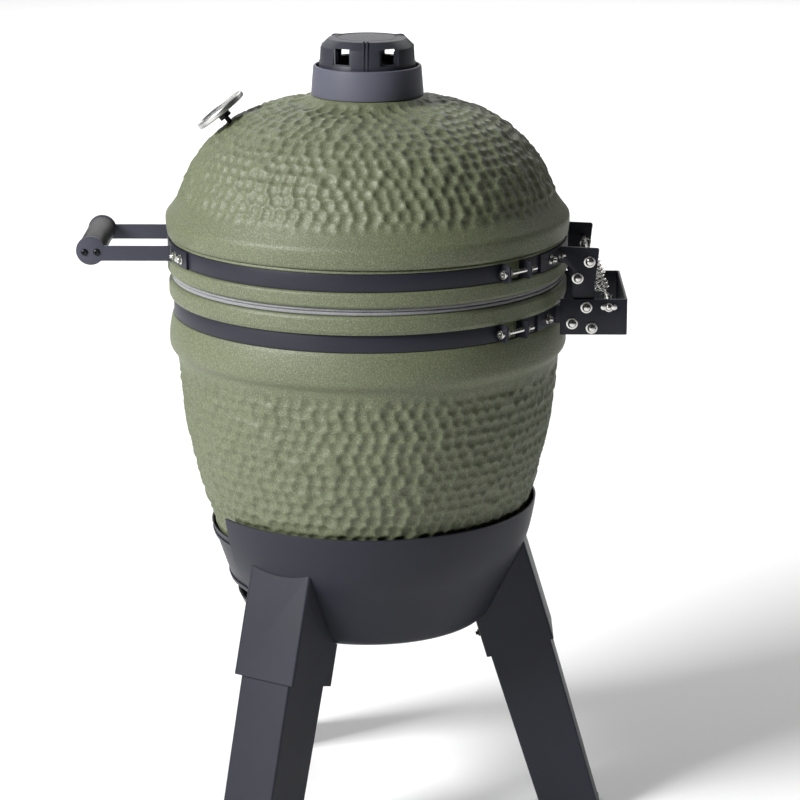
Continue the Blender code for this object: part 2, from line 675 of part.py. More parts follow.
def build_hinge():
    """The box on the base, the plates on the lid, the pivot, rods and springs."""
    web_inner = LOWER_SEAT + GAP * 2 + BAND_THICK
    band_low, band_high = LOWER_BAND_Z + GAP, LOWER_BAND_Z + BAND_HEIGHT - GAP
    walls = rounded([(BOX_HALF, 0.2560), (BOX_HALF, BOX_REAR), (-BOX_HALF, BOX_REAR),
                     (-BOX_HALF, 0.2560), (-BOX_HALF + SHEET, 0.2560),
                     (-BOX_HALF + SHEET, BOX_REAR - SHEET), (BOX_HALF - SHEET, BOX_REAR - SHEET),
                     (BOX_HALF - SHEET, 0.2560)], 0.0012, 2)
    box_walls = flat_curve("hinge_box", [walls], BOX_TOP - BOX_BOTTOM, "coat")
    box_walls.location.z = (BOX_TOP + BOX_BOTTOM) / 2
    box_walls = bake(box_walls)
    web = bake(sector("hinge_box_web", web_inner, web_inner + SHEET, 90.0 - BRACKET_SPREAD,
                      90.0 + BRACKET_SPREAD, band_low, band_high, collection=CUTTERS))
    combine(box_walls, web, "UNION")
    for side in (-1, 1):
        ear = bmesh.new()
        near, far = side * (BOX_HALF - SHEET), side * BOX_HALF
        box(ear, (min(near, far), 0.2490, band_low), (max(near, far), 0.2590, band_high))
        combine(box_walls, mesh_object(f"hinge_box_ear_{side}", ear, collection=CUTTERS), "UNION")
    cross_hole(box_walls, PIVOT, ROD_RADIUS + GAP)
    cross_hole(box_walls, ANCHOR_ROD, ROD_RADIUS + GAP)
    build_lid_bracket()
    build_hinge_rods()


def build_lid_bracket():
    """Two upright plates joined by a curved web, which swing about the pivot rod."""
    inner = UPPER_SEAT + GAP * 2 + BAND_THICK
    low, high = UPPER_BAND_Z + GAP, UPPER_BAND_Z + BAND_HEIGHT - GAP
    outline = rounded([(0.2535, 0.0441), (0.3072, 0.0417), (0.3008, -0.0147), (0.3020, -0.0450),
                       (0.2800, -0.0450), (0.2715, -0.0200), (0.2720, 0.0120),
                       (0.2620, 0.0212), (0.2535, 0.0222)], 0.003, 3)
    bracket = bake(sector("hinge_upper_bracket", inner, inner + SHEET, 90.0 - BRACKET_SPREAD,
                          90.0 + BRACKET_SPREAD, low, high, "coat"))
    for side in (-1, 1):
        plate = bake(side_plate(f"lid_plate_{side}", outline, side * PLATE_HALF, SHEET,
                                collection=CUTTERS))
        combine(bracket, plate, "UNION")
    cross_hole(bracket, PIVOT, ROD_RADIUS + GAP)
    cross_hole(bracket, HOOK_ROD, ROD_RADIUS + GAP)


def build_hinge_rods():
    """Pivot rod, spring rods, and the bolts of box and plates."""
    headed_rod("hinge_pivot_rod", BOX_HALF, PIVOT, ROD_RADIUS, BOLT_HEAD)
    headed_rod("spring_anchor_rod", BOX_HALF, ANCHOR_ROD, ROD_RADIUS, SMALL_HEAD)
    headed_rod("spring_hook_rod", PLATE_HALF, HOOK_ROD, ROD_RADIUS, BOLT_HEAD)
    for side, word in ((-1, "left"), (1, "right")):
        out = (side, 0.0, 0.0)
        for kind, reach, at in (("box_bolt_front", BOX_HALF, (0.2720, -0.0590)),
                                ("box_bolt_rear", BOX_HALF, (0.2980, -0.0651)),
                                ("plate_bolt", PLATE_HALF, (0.2788, 0.0014))):
            cap_bolt(f"hinge_{kind}_{word}", (side * reach, *at), out, BOLT_HEAD)
        build_spring("lift_spring_" + word, side * SPRING_OFFSET)


def build_spring(name, middle):
    """An extension spring hooked over both rods: loop, coil, loop on one wire."""
    upper, lower = Vector((middle, *HOOK_ROD)), Vector((middle, *ANCHOR_ROD))
    down = (lower - upper).normalized()
    across = Vector((1.0, 0.0, 0.0))
    out = down.cross(across)
    wire, loop, coil, turns, per_turn = 0.0010, 0.0075, 0.0095, 5, 8
    hold = loop - ROD_RADIUS - wire - GAP
    points = []
    for step in range(8):
        turn = math.radians(20 + step * 35)
        spread = out * (loop * math.sin(turn))
        points.append(upper + down * (hold + loop * math.cos(turn)) + spread)
    start = upper + down * (hold + loop + 0.003)
    end = lower - down * (hold + loop + 0.003)
    for step in range(turns * per_turn + 1):
        turn = math.tau * step / per_turn
        middle_point = start.lerp(end, step / (turns * per_turn))
        points.append(middle_point + out * (coil * math.cos(turn)) + across * (coil * math.sin(turn)))
    for step in range(8):
        turn = math.radians(265 - step * 35)
        spread = out * (loop * math.sin(turn))
        points.append(lower - down * (hold + loop * math.cos(turn)) + spread)
    data = bpy.data.curves.new(name, "CURVE")
    data.dimensions = "3D"
    data.bevel_depth = wire
    data.bevel_resolution = 2
    data.use_fill_caps = True
    spline = data.splines.new("POLY")
    spline.points.add(len(points) - 1)
    for point, place_at in zip(spline.points, points):
        point.co = (*place_at, 1.0)
    place(bpy.data.objects.new(name, data), AXIS, "steel")


# ---------------------------------------------------------------- lid and what it carries
def build_lid():
    """The ceramic lid, bored for the thermometer, and its gasket."""
    lid = turned("lid_shell", lid_outline(), "glaze")
    stem_hole = bmesh.new()
    normal = dial_normal()
    centre = Vector((0.0, *DIAL_CENTRE))
    rod(stem_hole, centre + normal * 0.02, centre - normal * 0.10, 0.0040, 12)
    combine(lid, mesh_object("stem_cut", stem_hole, collection=CUTTERS), "DIFFERENCE")
    top = -GAP
    turned("lid_gasket", [(GASKET_OUTER, top), (GASKET_OUTER, top - GASKET_THICK),
                          (GASKET_INNER, top - GASKET_THICK), (GASKET_INNER, top)], "felt")


def build_handle():
    """Curved bracket, two arms ending in discs, and the grip between them."""
    inner = UPPER_SEAT + GAP * 2 + BAND_THICK
    low, high = 0.0216, 0.0434
    sector("handle_bracket", inner, inner + SHEET, 270.0 - 29.6, 270.0 + 29.6, low, high, "coat")
    arm_end = -math.sqrt((inner + SHEET + GAP) ** 2 - (ARM_HALF - ARM_THICK) ** 2) - 0.0006
    outline = [(arm_end, ARM_BOTTOM), (arm_end, ARM_TOP)]
    first = math.asin((ARM_TOP - HANDLE_Z) / HANDLE_DISC)
    last = math.tau + math.asin((ARM_BOTTOM - HANDLE_Z) / HANDLE_DISC)
    steps = 16
    for step in range(steps + 1):
        turn = first + (last - first) * step / steps
        outline.append((HANDLE_Y + HANDLE_DISC * math.cos(turn),
                        HANDLE_Z + HANDLE_DISC * math.sin(turn)))
    for label, side in (("left", -1), ("right", 1)):
        side_plate("handle_arm_" + label, outline, side * ARM_HALF, ARM_THICK, "coat")
    grip = bmesh.new()
    reach = ARM_HALF - ARM_THICK - GAP
    rod(grip, (-reach, HANDLE_Y, HANDLE_Z), (reach, HANDLE_Y, HANDLE_Z), GRIP_RADIUS, 28)
    mesh_object("handle_grip", grip, finish="black")


def window_cutter(name, inner, outer, bottom, top):
    """Blocks, evenly spaced round the vent, that cut its windows."""
    shape = bmesh.new()
    for index in range(WINDOWS):
        block = bmesh.new()
        box(block, (inner, -WINDOW_WIDTH / 2, bottom), (outer, WINDOW_WIDTH / 2, top))
        turn = Matrix.Rotation(math.radians(360.0 / WINDOWS * index + WINDOW_TURN), 4, "Z")
        bmesh.ops.transform(block, matrix=turn, verts=block.verts)
        add(shape, block)
    return mesh_object(name, shape, collection=CUTTERS)


def build_vent():
    """Ring seated on the dome, crown with six gaps, and the cap that turns over it."""
    turned("vent_base", [(0.0680, 0.2717), (0.0707, 0.2717), (0.0719, 0.2705),
                         (0.0751, VENT_RING_Z), (0.0515, VENT_RING_Z), (0.0515, 0.2045),
                         (0.0480, 0.2045), (0.0480, 0.2560), (0.0585, 0.2600),
                         (0.0680, 0.2600)], "coat", VENT_SEGMENTS)
    sleeve = turned("vent_sleeve", [(0.0575, 0.2950), (0.0575, 0.2603), (0.0550, 0.2603),
                                    (0.0550, 0.2950)], "coat", VENT_SEGMENTS)
    combine(sleeve, window_cutter("sleeve_cut", 0.045, 0.070, 0.2775, 0.31), "DIFFERENCE")
    cap = turned("vent_cap", [(0.0, 0.3085), (0.0516, 0.3070), (0.0628, 0.2970),
                              (0.0650, 0.2610), (0.0612, 0.2610), (0.0592, 0.2955),
                              (0.0500, 0.3035), (0.0, 0.3045)], "coat", VENT_SEGMENTS,
                 closed=False)
    combine(cap, window_cutter("cap_cut", 0.0465, 0.080, 0.2780, 0.2990), "DIFFERENCE")


def dial_normal():
    """Direction that the thermometer faces."""
    return Vector((0.0, -math.cos(DIAL_TILT), math.sin(DIAL_TILT)))


def dial_turned(name, outline, finish, segments=FINE_SEGMENTS, closed=False):
    """A piece turned about the thermometer's own axis, its origin at the dial's centre."""
    thing = turned(name, outline, finish, segments, closed)
    thing.location = (0.0, *DIAL_CENTRE)
    thing.rotation_euler = (math.pi / 2 - DIAL_TILT, 0.0, 0.0)
    return thing


def build_thermometer():
    """Case, dial, pointer and glass on a stem that passes through the dome."""
    rim = DIAL_RADIUS
    back = -0.0040
    dial_turned("thermometer_case", [(rim - 0.003, 0.0035), (rim - 0.001, 0.0035), (rim, 0.0022),
                                     (rim, -0.0028), (rim - 0.0015, back), (0.0, back),
                                     (0.0, back + 0.0014), (rim - 0.003, back + 0.0014)], "steel",
                closed=True)
    disc = rim - 0.0034
    dial_turned("thermometer_dial", [(0.0, -0.0014), (disc, -0.0014), (disc, -0.0022),
                                     (0.0, -0.0022)], "white")
    dial_turned("thermometer_glass", [(0.0, 0.0026), (disc, 0.0024), (disc, 0.0012),
                                      (0.0, 0.0012)], "glass")
    dial_turned("thermometer_stem", [(0.0, back - GAP), (0.0085, back - GAP), (0.0085, -0.0125),
                                     (0.0033, -0.0125), (0.0033, -0.0620), (0.0, -0.0640)],
                "black", 12)
    needle = flat_curve("thermometer_needle", [[(0.0034, -0.010), (0.0034, 0.0), (0.0, 0.026),
                                                (-0.0034, 0.0), (-0.0034, -0.010)]], 0.0006, "black")
    needle.location = (0.0, *DIAL_CENTRE)
    needle.rotation_euler = (math.pi / 2 - DIAL_TILT, 0.0, 0.0)
    needle.location += dial_normal() * -0.0004


def hang_lid():
    """Hangs the lid's pieces on the hinge axis without moving them."""
    for name in LID_PIECES:
        thing = bpy.data.objects[name]
        thing.parent = LID_PIVOT
        thing.matrix_parent_inverse = Matrix.Translation(LID_PIVOT.location).inverted()


build_base()
build_firebox()
build_bowl()
build_legs()
build_bands()
build_hinge()
build_lid()
build_handle()
build_vent()
build_thermometer()
hang_lid()
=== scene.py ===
"""Looks for a hammered ceramic kamado grill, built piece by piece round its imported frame.

All shapes are drawn in the grill's own frame: origin on its upright axis at the lid's lower
edge, +Z up, the handle towards -Y and the hinge towards +Y.  Lengths are metres.
"""
import logging
import math
from dataclasses import dataclass, field
from enum import Enum
from typing import Callable, Iterable, Sequence

import bmesh
import bpy
import numpy as np
from mathutils import Matrix, Vector, kdtree, noise


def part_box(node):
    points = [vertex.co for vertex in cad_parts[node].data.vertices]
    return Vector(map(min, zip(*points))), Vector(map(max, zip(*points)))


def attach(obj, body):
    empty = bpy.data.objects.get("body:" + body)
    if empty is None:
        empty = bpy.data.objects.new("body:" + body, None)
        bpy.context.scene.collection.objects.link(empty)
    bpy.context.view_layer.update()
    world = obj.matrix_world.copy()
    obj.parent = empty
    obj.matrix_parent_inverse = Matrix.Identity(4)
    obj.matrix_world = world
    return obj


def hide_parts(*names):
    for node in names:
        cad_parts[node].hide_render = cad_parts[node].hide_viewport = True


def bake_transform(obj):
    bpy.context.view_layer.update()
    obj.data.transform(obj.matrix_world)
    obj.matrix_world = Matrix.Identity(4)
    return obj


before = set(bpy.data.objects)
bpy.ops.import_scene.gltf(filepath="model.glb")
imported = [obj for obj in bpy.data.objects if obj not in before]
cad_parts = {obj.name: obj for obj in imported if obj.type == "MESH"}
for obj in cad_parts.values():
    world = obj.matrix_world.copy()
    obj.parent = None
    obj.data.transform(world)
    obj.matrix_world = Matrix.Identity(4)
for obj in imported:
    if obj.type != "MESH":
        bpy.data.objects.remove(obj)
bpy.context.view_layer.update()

logging.basicConfig(level=logging.INFO, format="%(name)s: %(message)s")
LOG = logging.getLogger("kamado")

Point2 = tuple[float, float]
Outline = Sequence[Point2]
Shape = bmesh.types.BMesh
Pattern = tuple                  # a noise's scale, detail, roughness and stretch
Relief = tuple[tuple[Pattern, float, float], ...]
Constants = tuple[tuple[str, float], ...]

LID_LOW, LID_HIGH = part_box("lid_shell")
RIM_Z = float(LID_LOW[2])
AXIS_Y = float(LID_LOW[1] + LID_HIGH[1]) / 2
ORIGIN = Matrix.Translation((0.0, AXIS_Y, RIM_Z))
ON_EDGE = Matrix.Rotation(math.pi / 2, 4, "X")      # stands a flat plate in the (r, z) plane
UPPER_SEAT, LOWER_SEAT = 0.2628, 0.2589             # the ceramic's radius under each band
UPPER_MIDDLE, LOWER_MIDDLE = 0.0326, -0.0470        # heights of the bands' middles


class Body(Enum):
    """The rigid bodies that pieces ride on."""

    STAND = "stand"
    DOOR = "draft_door"
    LID = "lid"
    CAP = "vent_cap"
    NEEDLE = "needle"


class Side(Enum):
    """Left and right as seen from the front of the grill."""

    LEFT = -1
    RIGHT = 1

    @property
    def word(self) -> str:
        """The side's name as used in node names."""
        return self.name.lower()


# ------------------------------------------------------------------ outlines
def arc(centre: Point2, radius: float, start: float, end: float, steps: int) -> list[Point2]:
    """Points on a circular arc.

    Args:
        centre: Centre of the arc.
        radius: Its radius.
        start: First angle in degrees.
        end: Last angle in degrees.
        steps: Number of chords.

    Returns:
        The points from start to end, both included.
    """
    turns = [math.radians(start + (end - start) * k / steps) for k in range(steps + 1)]
    return [(centre[0] + radius * math.cos(t), centre[1] + radius * math.sin(t)) for t in turns]


def fillet(points: Outline, radius: float, steps: int = 4, closed: bool = True) -> list[Point2]:
    """Rounds the corners of an outline.

    Args:
        points: The sharp outline.
        radius: Wanted corner radius; short sides get a smaller one.
        steps: Chords in each corner's arc.
        closed: Whether the last point joins the first; the ends of an open outline stay sharp.

    Returns:
        The rounded outline.
    """
    result: list[Point2] = []
    count = len(points)
    for index, corner in enumerate(points):
        if not closed and index in (0, count - 1):
            result.append(tuple(corner))
            continue
        here = Vector(corner)
        to_back = Vector(points[index - 1]) - here
        to_next = Vector(points[(index + 1) % count]) - here
        half = to_back.angle(to_next) / 2
        if half > math.radians(88.5):
            result.append(tuple(corner))
            continue
        inset = min(radius / math.tan(half), to_back.length * 0.48, to_next.length * 0.48)
        start = here + to_back.normalized() * inset
        end = here + to_next.normalized() * inset
        for step in range(steps + 1):
            t = step / steps
            result.append(tuple(start * (1 - t) ** 2 + here * 2 * t * (1 - t) + end * t * t))
    return result


def rect(inner: float, outer: float, low: float, high: float) -> list[Point2]:
    """The corners of an upright rectangle in (r, z)."""
    return [(inner, low), (outer, low), (outer, high), (inner, high)]


def outward(degrees: float) -> Vector:
    """The unit vector in plan at an angle from +X."""
    turn = math.radians(degrees)
    return Vector((math.cos(turn), math.sin(turn), 0.0))


def resample(points: Outline, spacing: float) -> list[Point2]:
    """Spreads points evenly along a polyline.

    Args:
        points: The polyline.
        spacing: Wanted distance between points.

    Returns:
        Points no further apart than the spacing, the ends included.
    """
    line = np.array(points)
    lengths = np.hypot(*np.diff(line, axis=0).T)
    along = np.concatenate([[0.0], np.cumsum(lengths)])
    count = max(2, int(math.ceil(along[-1] / spacing)) + 1)
    wanted = np.linspace(0.0, along[-1], count)
    return list(zip(np.interp(wanted, along, line[:, 0]), np.interp(wanted, along, line[:, 1])))


def smooth_line(points: Outline, steps: int) -> list[Point2]:
    """A smooth open line through points, a Catmull-Rom spline.

    Args:
        points: Points that it passes through.
        steps: Chords between neighbours.

    Returns:
        The finer line.
    """
    line = [Vector(point) for point in points]
    line = [line[0] * 2 - line[1], *line, line[-1] * 2 - line[-2]]
    result: list[Point2] = []
    for index in range(1, len(line) - 2):
        a, b, c, d = line[index - 1:index + 3]
        for step in range(steps):
            t = step / steps
            place = ((b * 2) + (c - a) * t + (a * 2 - b * 5 + c * 4 - d) * t ** 2
                     + (b * 3 - a - c * 3 + d) * t ** 3) * 0.5
            result.append(tuple(place))
    result.append(tuple(points[-1]))
    return result


# ------------------------------------------------------------------ mesh tools
def tidy(shape: Shape) -> Shape:
    """Merges doubled vertices and turns every face outwards."""
    bmesh.ops.remove_doubles(shape, verts=shape.verts, dist=1e-6)
    bmesh.ops.recalc_face_normals(shape, faces=shape.faces)
    return shape


def soften(shape: Shape, width: float, segments: int = 2, angle: float = 35.0) -> Shape:
    """Bevels every edge sharper than an angle.

    Args:
        shape: The mesh to change.
        width: Bevel width.
        segments: Rings of faces in the bevel.
        angle: Smallest fold, in degrees, that counts as an edge.

    Returns:
        The same mesh.
    """
    sharp = [e for e in shape.edges if len(e.link_faces) == 2
             and e.calc_face_angle(0.0) > math.radians(angle)]
    bmesh.ops.bevel(shape, geom=sharp, offset=width, offset_type="OFFSET", segments=segments,
                    profile=0.5, affect="EDGES", material=-1, clamp_overlap=True)
    return shape


def spun(outline: Outline, steps: int, closed: bool = True) -> Shape:
    """Spins an (r, z) outline a full turn about Z.

    Args:
        outline: Section points; an open outline starts and ends on the axis.
        steps: Facets round the axis.
        closed: Whether the section closes on itself.

    Returns:
        The closed mesh.
    """
    shape = bmesh.new()
    corners = [shape.verts.new((r, 0.0, z)) for r, z in outline]
    pairs = list(zip(corners, corners[1:]))
    if closed:
        pairs.append((corners[-1], corners[0]))
    edges = [shape.edges.new(pair) for pair in pairs]
    bmesh.ops.spin(shape, geom=corners + edges, cent=(0, 0, 0), axis=(0, 0, 1),
                   angle=math.tau, steps=steps, use_merge=True)
    return tidy(shape)


def swept(outline: Outline, start: float, end: float, steps: int) -> Shape:
    """Spins a closed (r, z) section through part of a turn and caps its ends.

    Args:
        outline: The closed section.
        start: First angle in degrees from +X.
        end: Last angle in degrees.
        steps: Facets along the sweep.

    Returns:
        The closed mesh.
    """
    shape = bmesh.new()
    corners = [shape.verts.new((r, 0.0, z)) for r, z in outline]
    first = shape.faces.new(corners)
    bmesh.ops.rotate(shape, verts=corners, cent=(0, 0, 0),
                     matrix=Matrix.Rotation(math.radians(start), 3, "Z"))
    bmesh.ops.spin(shape, geom=[first], cent=(0, 0, 0), axis=(0, 0, 1),
                   angle=math.radians(end - start), steps=steps)
    return tidy(shape)


def plate(outline: Outline, thick: float, edge: float = 0.0, segments: int = 2) -> Shape:
    """A flat plate centred on z = 0 with softened edges.

    Args:
        outline: Its corners in order.
        thick: Thickness along Z.
        edge: Bevel width, or 0 for none.
        segments: Rings of faces in the bevel.

    Returns:
        The closed mesh.
    """
    shape = bmesh.new()
    corners = [shape.verts.new((x, y, -thick / 2)) for x, y in outline]
    face = shape.faces.new(corners)
    grown = bmesh.ops.extrude_face_region(shape, geom=[face])["geom"]
    moved = [item for item in grown if isinstance(item, bmesh.types.BMVert)]
    bmesh.ops.translate(shape, verts=moved, vec=(0, 0, thick))
    tidy(shape)
    if edge:
        soften(shape, edge, segments, 50.0)
    return shape


def block(low: Sequence[float], high: Sequence[float], edge: float = 0.0) -> Shape:
    """A box between two corners with softened edges."""
    shape = bmesh.new()
    size = [b - a for a, b in zip(low, high)]
    middle = [(a + b) / 2 for a, b in zip(low, high)]
    bmesh.ops.create_cube(shape, size=1.0,
                          matrix=Matrix.Translation(middle) @ Matrix.Diagonal((*size, 1.0)))
    if edge:
        soften(shape, edge, 2)
    return shape


def lifted(height: float) -> Matrix:
    """A shift along Z."""
    return Matrix.Translation((0.0, 0.0, height))


def moved(shape: Shape, matrix: Matrix) -> Shape:
    """Transforms a mesh in place and returns it."""
    bmesh.ops.transform(shape, matrix=matrix, verts=shape.verts)
    return shape


def aimed(at: Sequence[float], along: Sequence[float], roll: float = 0.0) -> Matrix:
    """A frame at a point whose +Z runs along a direction, rolled about it in radians."""
    turn = Vector(along).to_track_quat("Z", "Y").to_matrix().to_4x4()
    return Matrix.Translation(at) @ turn @ Matrix.Rotation(roll, 4, "Z")


def joined(shapes: Iterable[Shape]) -> Shape:
    """Gathers several meshes into one and frees them."""
    whole = bmesh.new()
    for shape in shapes:
        scratch = bpy.data.meshes.new("scratch")
        shape.to_mesh(scratch)
        shape.free()
        whole.from_mesh(scratch)
        bpy.data.meshes.remove(scratch)
    return whole


def upright(shape: Shape, outer_x: float, thick: float) -> Shape:
    """Stands a plate drawn in (y, z) upright, its outer face at outer_x."""
    side = math.copysign(1.0, outer_x)
    stand = Matrix(((0, 0, 1, 0), (1, 0, 0, 0), (0, 1, 0, 0), (0, 0, 0, 1)))
    return moved(shape, Matrix.Translation((outer_x - side * thick / 2, 0, 0)) @ stand)


def linked(name: str, data: bpy.types.ID) -> bpy.types.Object:
    """A new object in the scene."""
    thing = bpy.data.objects.new(name, data)
    bpy.context.scene.collection.objects.link(thing)
    return thing


def evaluated(thing: bpy.types.Object) -> Shape:
    """The mesh that an object has once its modifiers or bevel are worked out."""
    bpy.context.view_layer.update()
    ready = thing.evaluated_get(bpy.context.evaluated_depsgraph_get())
    flat = bpy.data.meshes.new_from_object(ready)
    shape = bmesh.new()
    shape.from_mesh(flat)
    bpy.data.meshes.remove(flat)
    return shape


def tube_mesh(points: Sequence[Vector], radius: float, sides: int = 3,
              cyclic: bool = False) -> Shape:
    """A round wire along a path, made from a bevelled curve.

    Args:
        points: The path.
        radius: Wire radius.
        sides: Bevel resolution of the curve.
        cyclic: Whether the path closes on itself.

    Returns:
        The wire's mesh.
    """
    data = bpy.data.curves.new("wire", "CURVE")
    data.dimensions = "3D"
    data.bevel_depth = radius
    data.bevel_resolution = sides
    data.use_fill_caps = True
    spline = data.splines.new("POLY")
    spline.points.add(len(points) - 1)
    for point, place in zip(spline.points, points):
        point.co = (*place, 1.0)
    spline.use_cyclic_u = cyclic
    thing = linked("wire", data)
    shape = evaluated(thing)
    bpy.data.objects.remove(thing, do_unlink=True)
    bpy.data.curves.remove(data)
    return tidy(shape)


def carved(shape: Shape, cutter: Shape) -> Shape:
    """Subtracts one closed mesh from another with an exact Boolean.

    Args:
        shape: The mesh to cut.
        cutter: What is taken away.

    Returns:
        The cut mesh.
    """
    things = []
    for name, source in (("carved", shape), ("cutter", cutter)):
        data = bpy.data.meshes.new(name)
        source.to_mesh(data)
        source.free()
        things.append(linked(name, data))
    step = things[0].modifiers.new("cut", "BOOLEAN")
    step.operation = "DIFFERENCE"
    step.solver = "EXACT"
    step.object = things[1]
    result = evaluated(things[0])
    for thing in things:
        data = thing.data
        bpy.data.objects.remove(thing, do_unlink=True)
        bpy.data.meshes.remove(data)
    bmesh.ops.remove_doubles(result, verts=result.verts, dist=1e-6)
    return result


# ------------------------------------------------------------------ finishes
class Nodes:
    """Short hand for wiring a Principled material on Object coordinates."""

    def __init__(self, name: str) -> None:
        """Starts a material with one Principled shader."""
        self.material = bpy.data.materials.new(name)
        self.material.use_nodes = True
        self.tree = self.material.node_tree
        self.shader = self.tree.nodes["Principled BSDF"]
        self.coords = self.add("ShaderNodeTexCoord").outputs["Object"]

    def add(self, kind: str, **values: object) -> bpy.types.Node:
        """Adds a node and sets its properties or inputs by name.

        Args:
            kind: The node's type.
            **values: Properties, or inputs with spaces written as underscores.

        Returns:
            The node.
        """
        node = self.tree.nodes.new(kind)
        for key, value in values.items():
            if hasattr(node, key):
                setattr(node, key, value)
            else:
                node.inputs[key.replace("_", " ")].default_value = value
        return node

    def link(self, source: bpy.types.NodeSocket, target: bpy.types.NodeSocket) -> None:
        """Joins two sockets."""
        self.tree.links.new(source, target)

    def noise(self, scale: float, detail: float = 3.0, rough: float = 0.55,
              stretch: Sequence[float] = (1.0, 1.0, 1.0)) -> bpy.types.NodeSocket:
        """A noise texture's factor on Object coordinates."""
        mapping = self.add("ShaderNodeMapping", Scale=tuple(stretch))
        node = self.add("ShaderNodeTexNoise", Scale=scale, Detail=detail, Roughness=rough)
        self.link(self.coords, mapping.inputs["Vector"])
        self.link(mapping.outputs["Vector"], node.inputs["Vector"])
        return node.outputs["Fac"]

    def ramp(self, value: bpy.types.NodeSocket,
             stops: Sequence[tuple[float, Sequence[float]]]) -> bpy.types.NodeSocket:
        """Maps a value through colour stops."""
        node = self.add("ShaderNodeValToRGB")
        while len(node.color_ramp.elements) < len(stops):
            node.color_ramp.elements.new(0.5)
        for element, (place, color) in zip(node.color_ramp.elements, stops):
            element.position = place
            element.color = (*color[:3], 1.0)
        self.link(value, node.inputs["Fac"])
        return node.outputs["Color"]

    def spread(self, value: bpy.types.NodeSocket, low: float, high: float,
               start: float = 0.3, end: float = 0.7) -> bpy.types.NodeSocket:
        """Maps a noise factor to a range."""
        node = self.add("ShaderNodeMapRange")
        for name, number in (("From Min", start), ("From Max", end), ("To Min", low),
                             ("To Max", high)):
            node.inputs[name].default_value = number
        self.link(value, node.inputs["Value"])
        return node.outputs["Result"]

    def mix(self, share: bpy.types.NodeSocket, first: object, second: object,
            blend: str = "MIX") -> bpy.types.NodeSocket:
        """Mixes two colours, each a socket or a constant."""
        node = self.add("ShaderNodeMix", data_type="RGBA", blend_type=blend)
        self.link(share, node.inputs["Factor"])
        for slot, item in ((6, first), (7, second)):
            if isinstance(item, bpy.types.NodeSocket):
                self.link(item, node.inputs[slot])
            else:
                node.inputs[slot].default_value = (*item[:3], 1.0)
        return node.outputs[2]

    def bump(self, layers: Sequence[tuple[bpy.types.NodeSocket, float, float]]) -> None:
        """Chains bump layers of (height, strength, distance) into the shader's normal."""
        previous = None
        for height, strength, distance in layers:
            node = self.add("ShaderNodeBump", Strength=strength, Distance=distance)
            self.link(height, node.inputs["Height"])
            if previous is not None:
                self.link(previous, node.inputs["Normal"])
            previous = node.outputs["Normal"]
        self.link(previous, self.shader.inputs["Normal"])

    def constants(self, **values: object) -> None:
        """Sets constant values on the shader's own sockets."""
        for key, value in values.items():
            self.shader.inputs[key.replace("_", " ")].default_value = value


@dataclass(frozen=True)
class Finish:
    """A surface finish: its slot name and how its material is made."""

    name: str
    slot: str
    color: tuple[float, float, float]
    rough: float
    metal: float = 0.0

    def start(self) -> Nodes:
        """A material with this finish's constants set."""
        nodes = Nodes(self.name)
        nodes.constants(Base_Color=(*self.color, 1.0), Roughness=self.rough, Metallic=self.metal)
        return nodes

    def build(self) -> bpy.types.Material:
        """Makes the material."""
        raise NotImplementedError


@dataclass(frozen=True)
class Glaze(Finish):
    """Satin olive glaze with a leathery grain and a fine light and dark fleck."""

    fleck: tuple[float, float, float] = (0.210, 0.228, 0.145)
    shade: tuple[float, float, float] = (0.060, 0.070, 0.036)

    def build(self) -> bpy.types.Material:
        """Makes the material."""
        nodes = self.start()
        cloud = nodes.noise(9.0, 4.0)
        body = nodes.mix(nodes.spread(cloud, 0.0, 1.0), self.color,
                         [c * 1.16 for c in self.color])
        grain = nodes.noise(620.0, 2.0, 0.6)
        dark = nodes.mix(nodes.spread(grain, 0.55, 0.0, 0.34, 0.50), body, self.shade)
        light = nodes.mix(nodes.spread(grain, 0.0, 0.75, 0.52, 0.66), dark, self.fleck)
        nodes.link(light, nodes.shader.inputs["Base Color"])
        nodes.link(nodes.spread(grain, self.rough + 0.10, self.rough - 0.06),
                   nodes.shader.inputs["Roughness"])
        nodes.constants(Coat_Weight=0.06, Coat_Roughness=0.42)
        nodes.bump([(nodes.noise(150.0, 2.0), 0.18, 0.0010), (grain, 0.42, 0.0007)])
        return nodes.material


@dataclass(frozen=True)
class Grained(Finish):
    """A surface whose tint and gloss follow noises, under a relief of fine bumps.

    Attributes:
        tone: Noise that varies the tint.
        tones: Factors on the colour at the tone's two ends.
        gloss: Noise that varies the roughness, or None.
        glosses: What it adds to the roughness at its two ends.
        relief: Bump layers, each a noise, a strength and a distance.
        extras: Further constants of the shader.
    """

    tone: Pattern = (14.0, 3.0)
    tones: tuple[float, float] = (0.93, 1.08)
    gloss: Pattern | None = None
    glosses: tuple[float, float] = (0.0, 0.0)
    relief: Relief = ()
    extras: Constants = ()

    def build(self) -> bpy.types.Material:
        """Makes the material."""
        nodes = self.start()
        ends = [[min(1.0, value * factor) for value in self.color] for factor in self.tones]
        tint = nodes.mix(nodes.spread(nodes.noise(*self.tone), 0.0, 1.0), *ends)
        nodes.link(tint, nodes.shader.inputs["Base Color"])
        if self.gloss is not None:
            low, high = (self.rough + change for change in self.glosses)
            nodes.link(nodes.spread(nodes.noise(*self.gloss), low, high),
                       nodes.shader.inputs["Roughness"])
        nodes.constants(**dict(self.extras))
        nodes.bump([(nodes.noise(*pattern), strength, distance)
                    for pattern, strength, distance in self.relief])
        return nodes.material


@dataclass(frozen=True)
class PowderCoat(Grained):
    """Satin powder coat with a very fine grain."""

    gloss: Pattern = (1500.0, 2.0)
    glosses: tuple[float, float] = (-0.05, 0.07)
    relief: Relief = (((1500.0, 2.0), 0.30, 0.00018),)
    extras: Constants = (("Specular_IOR_Level", 0.32),)


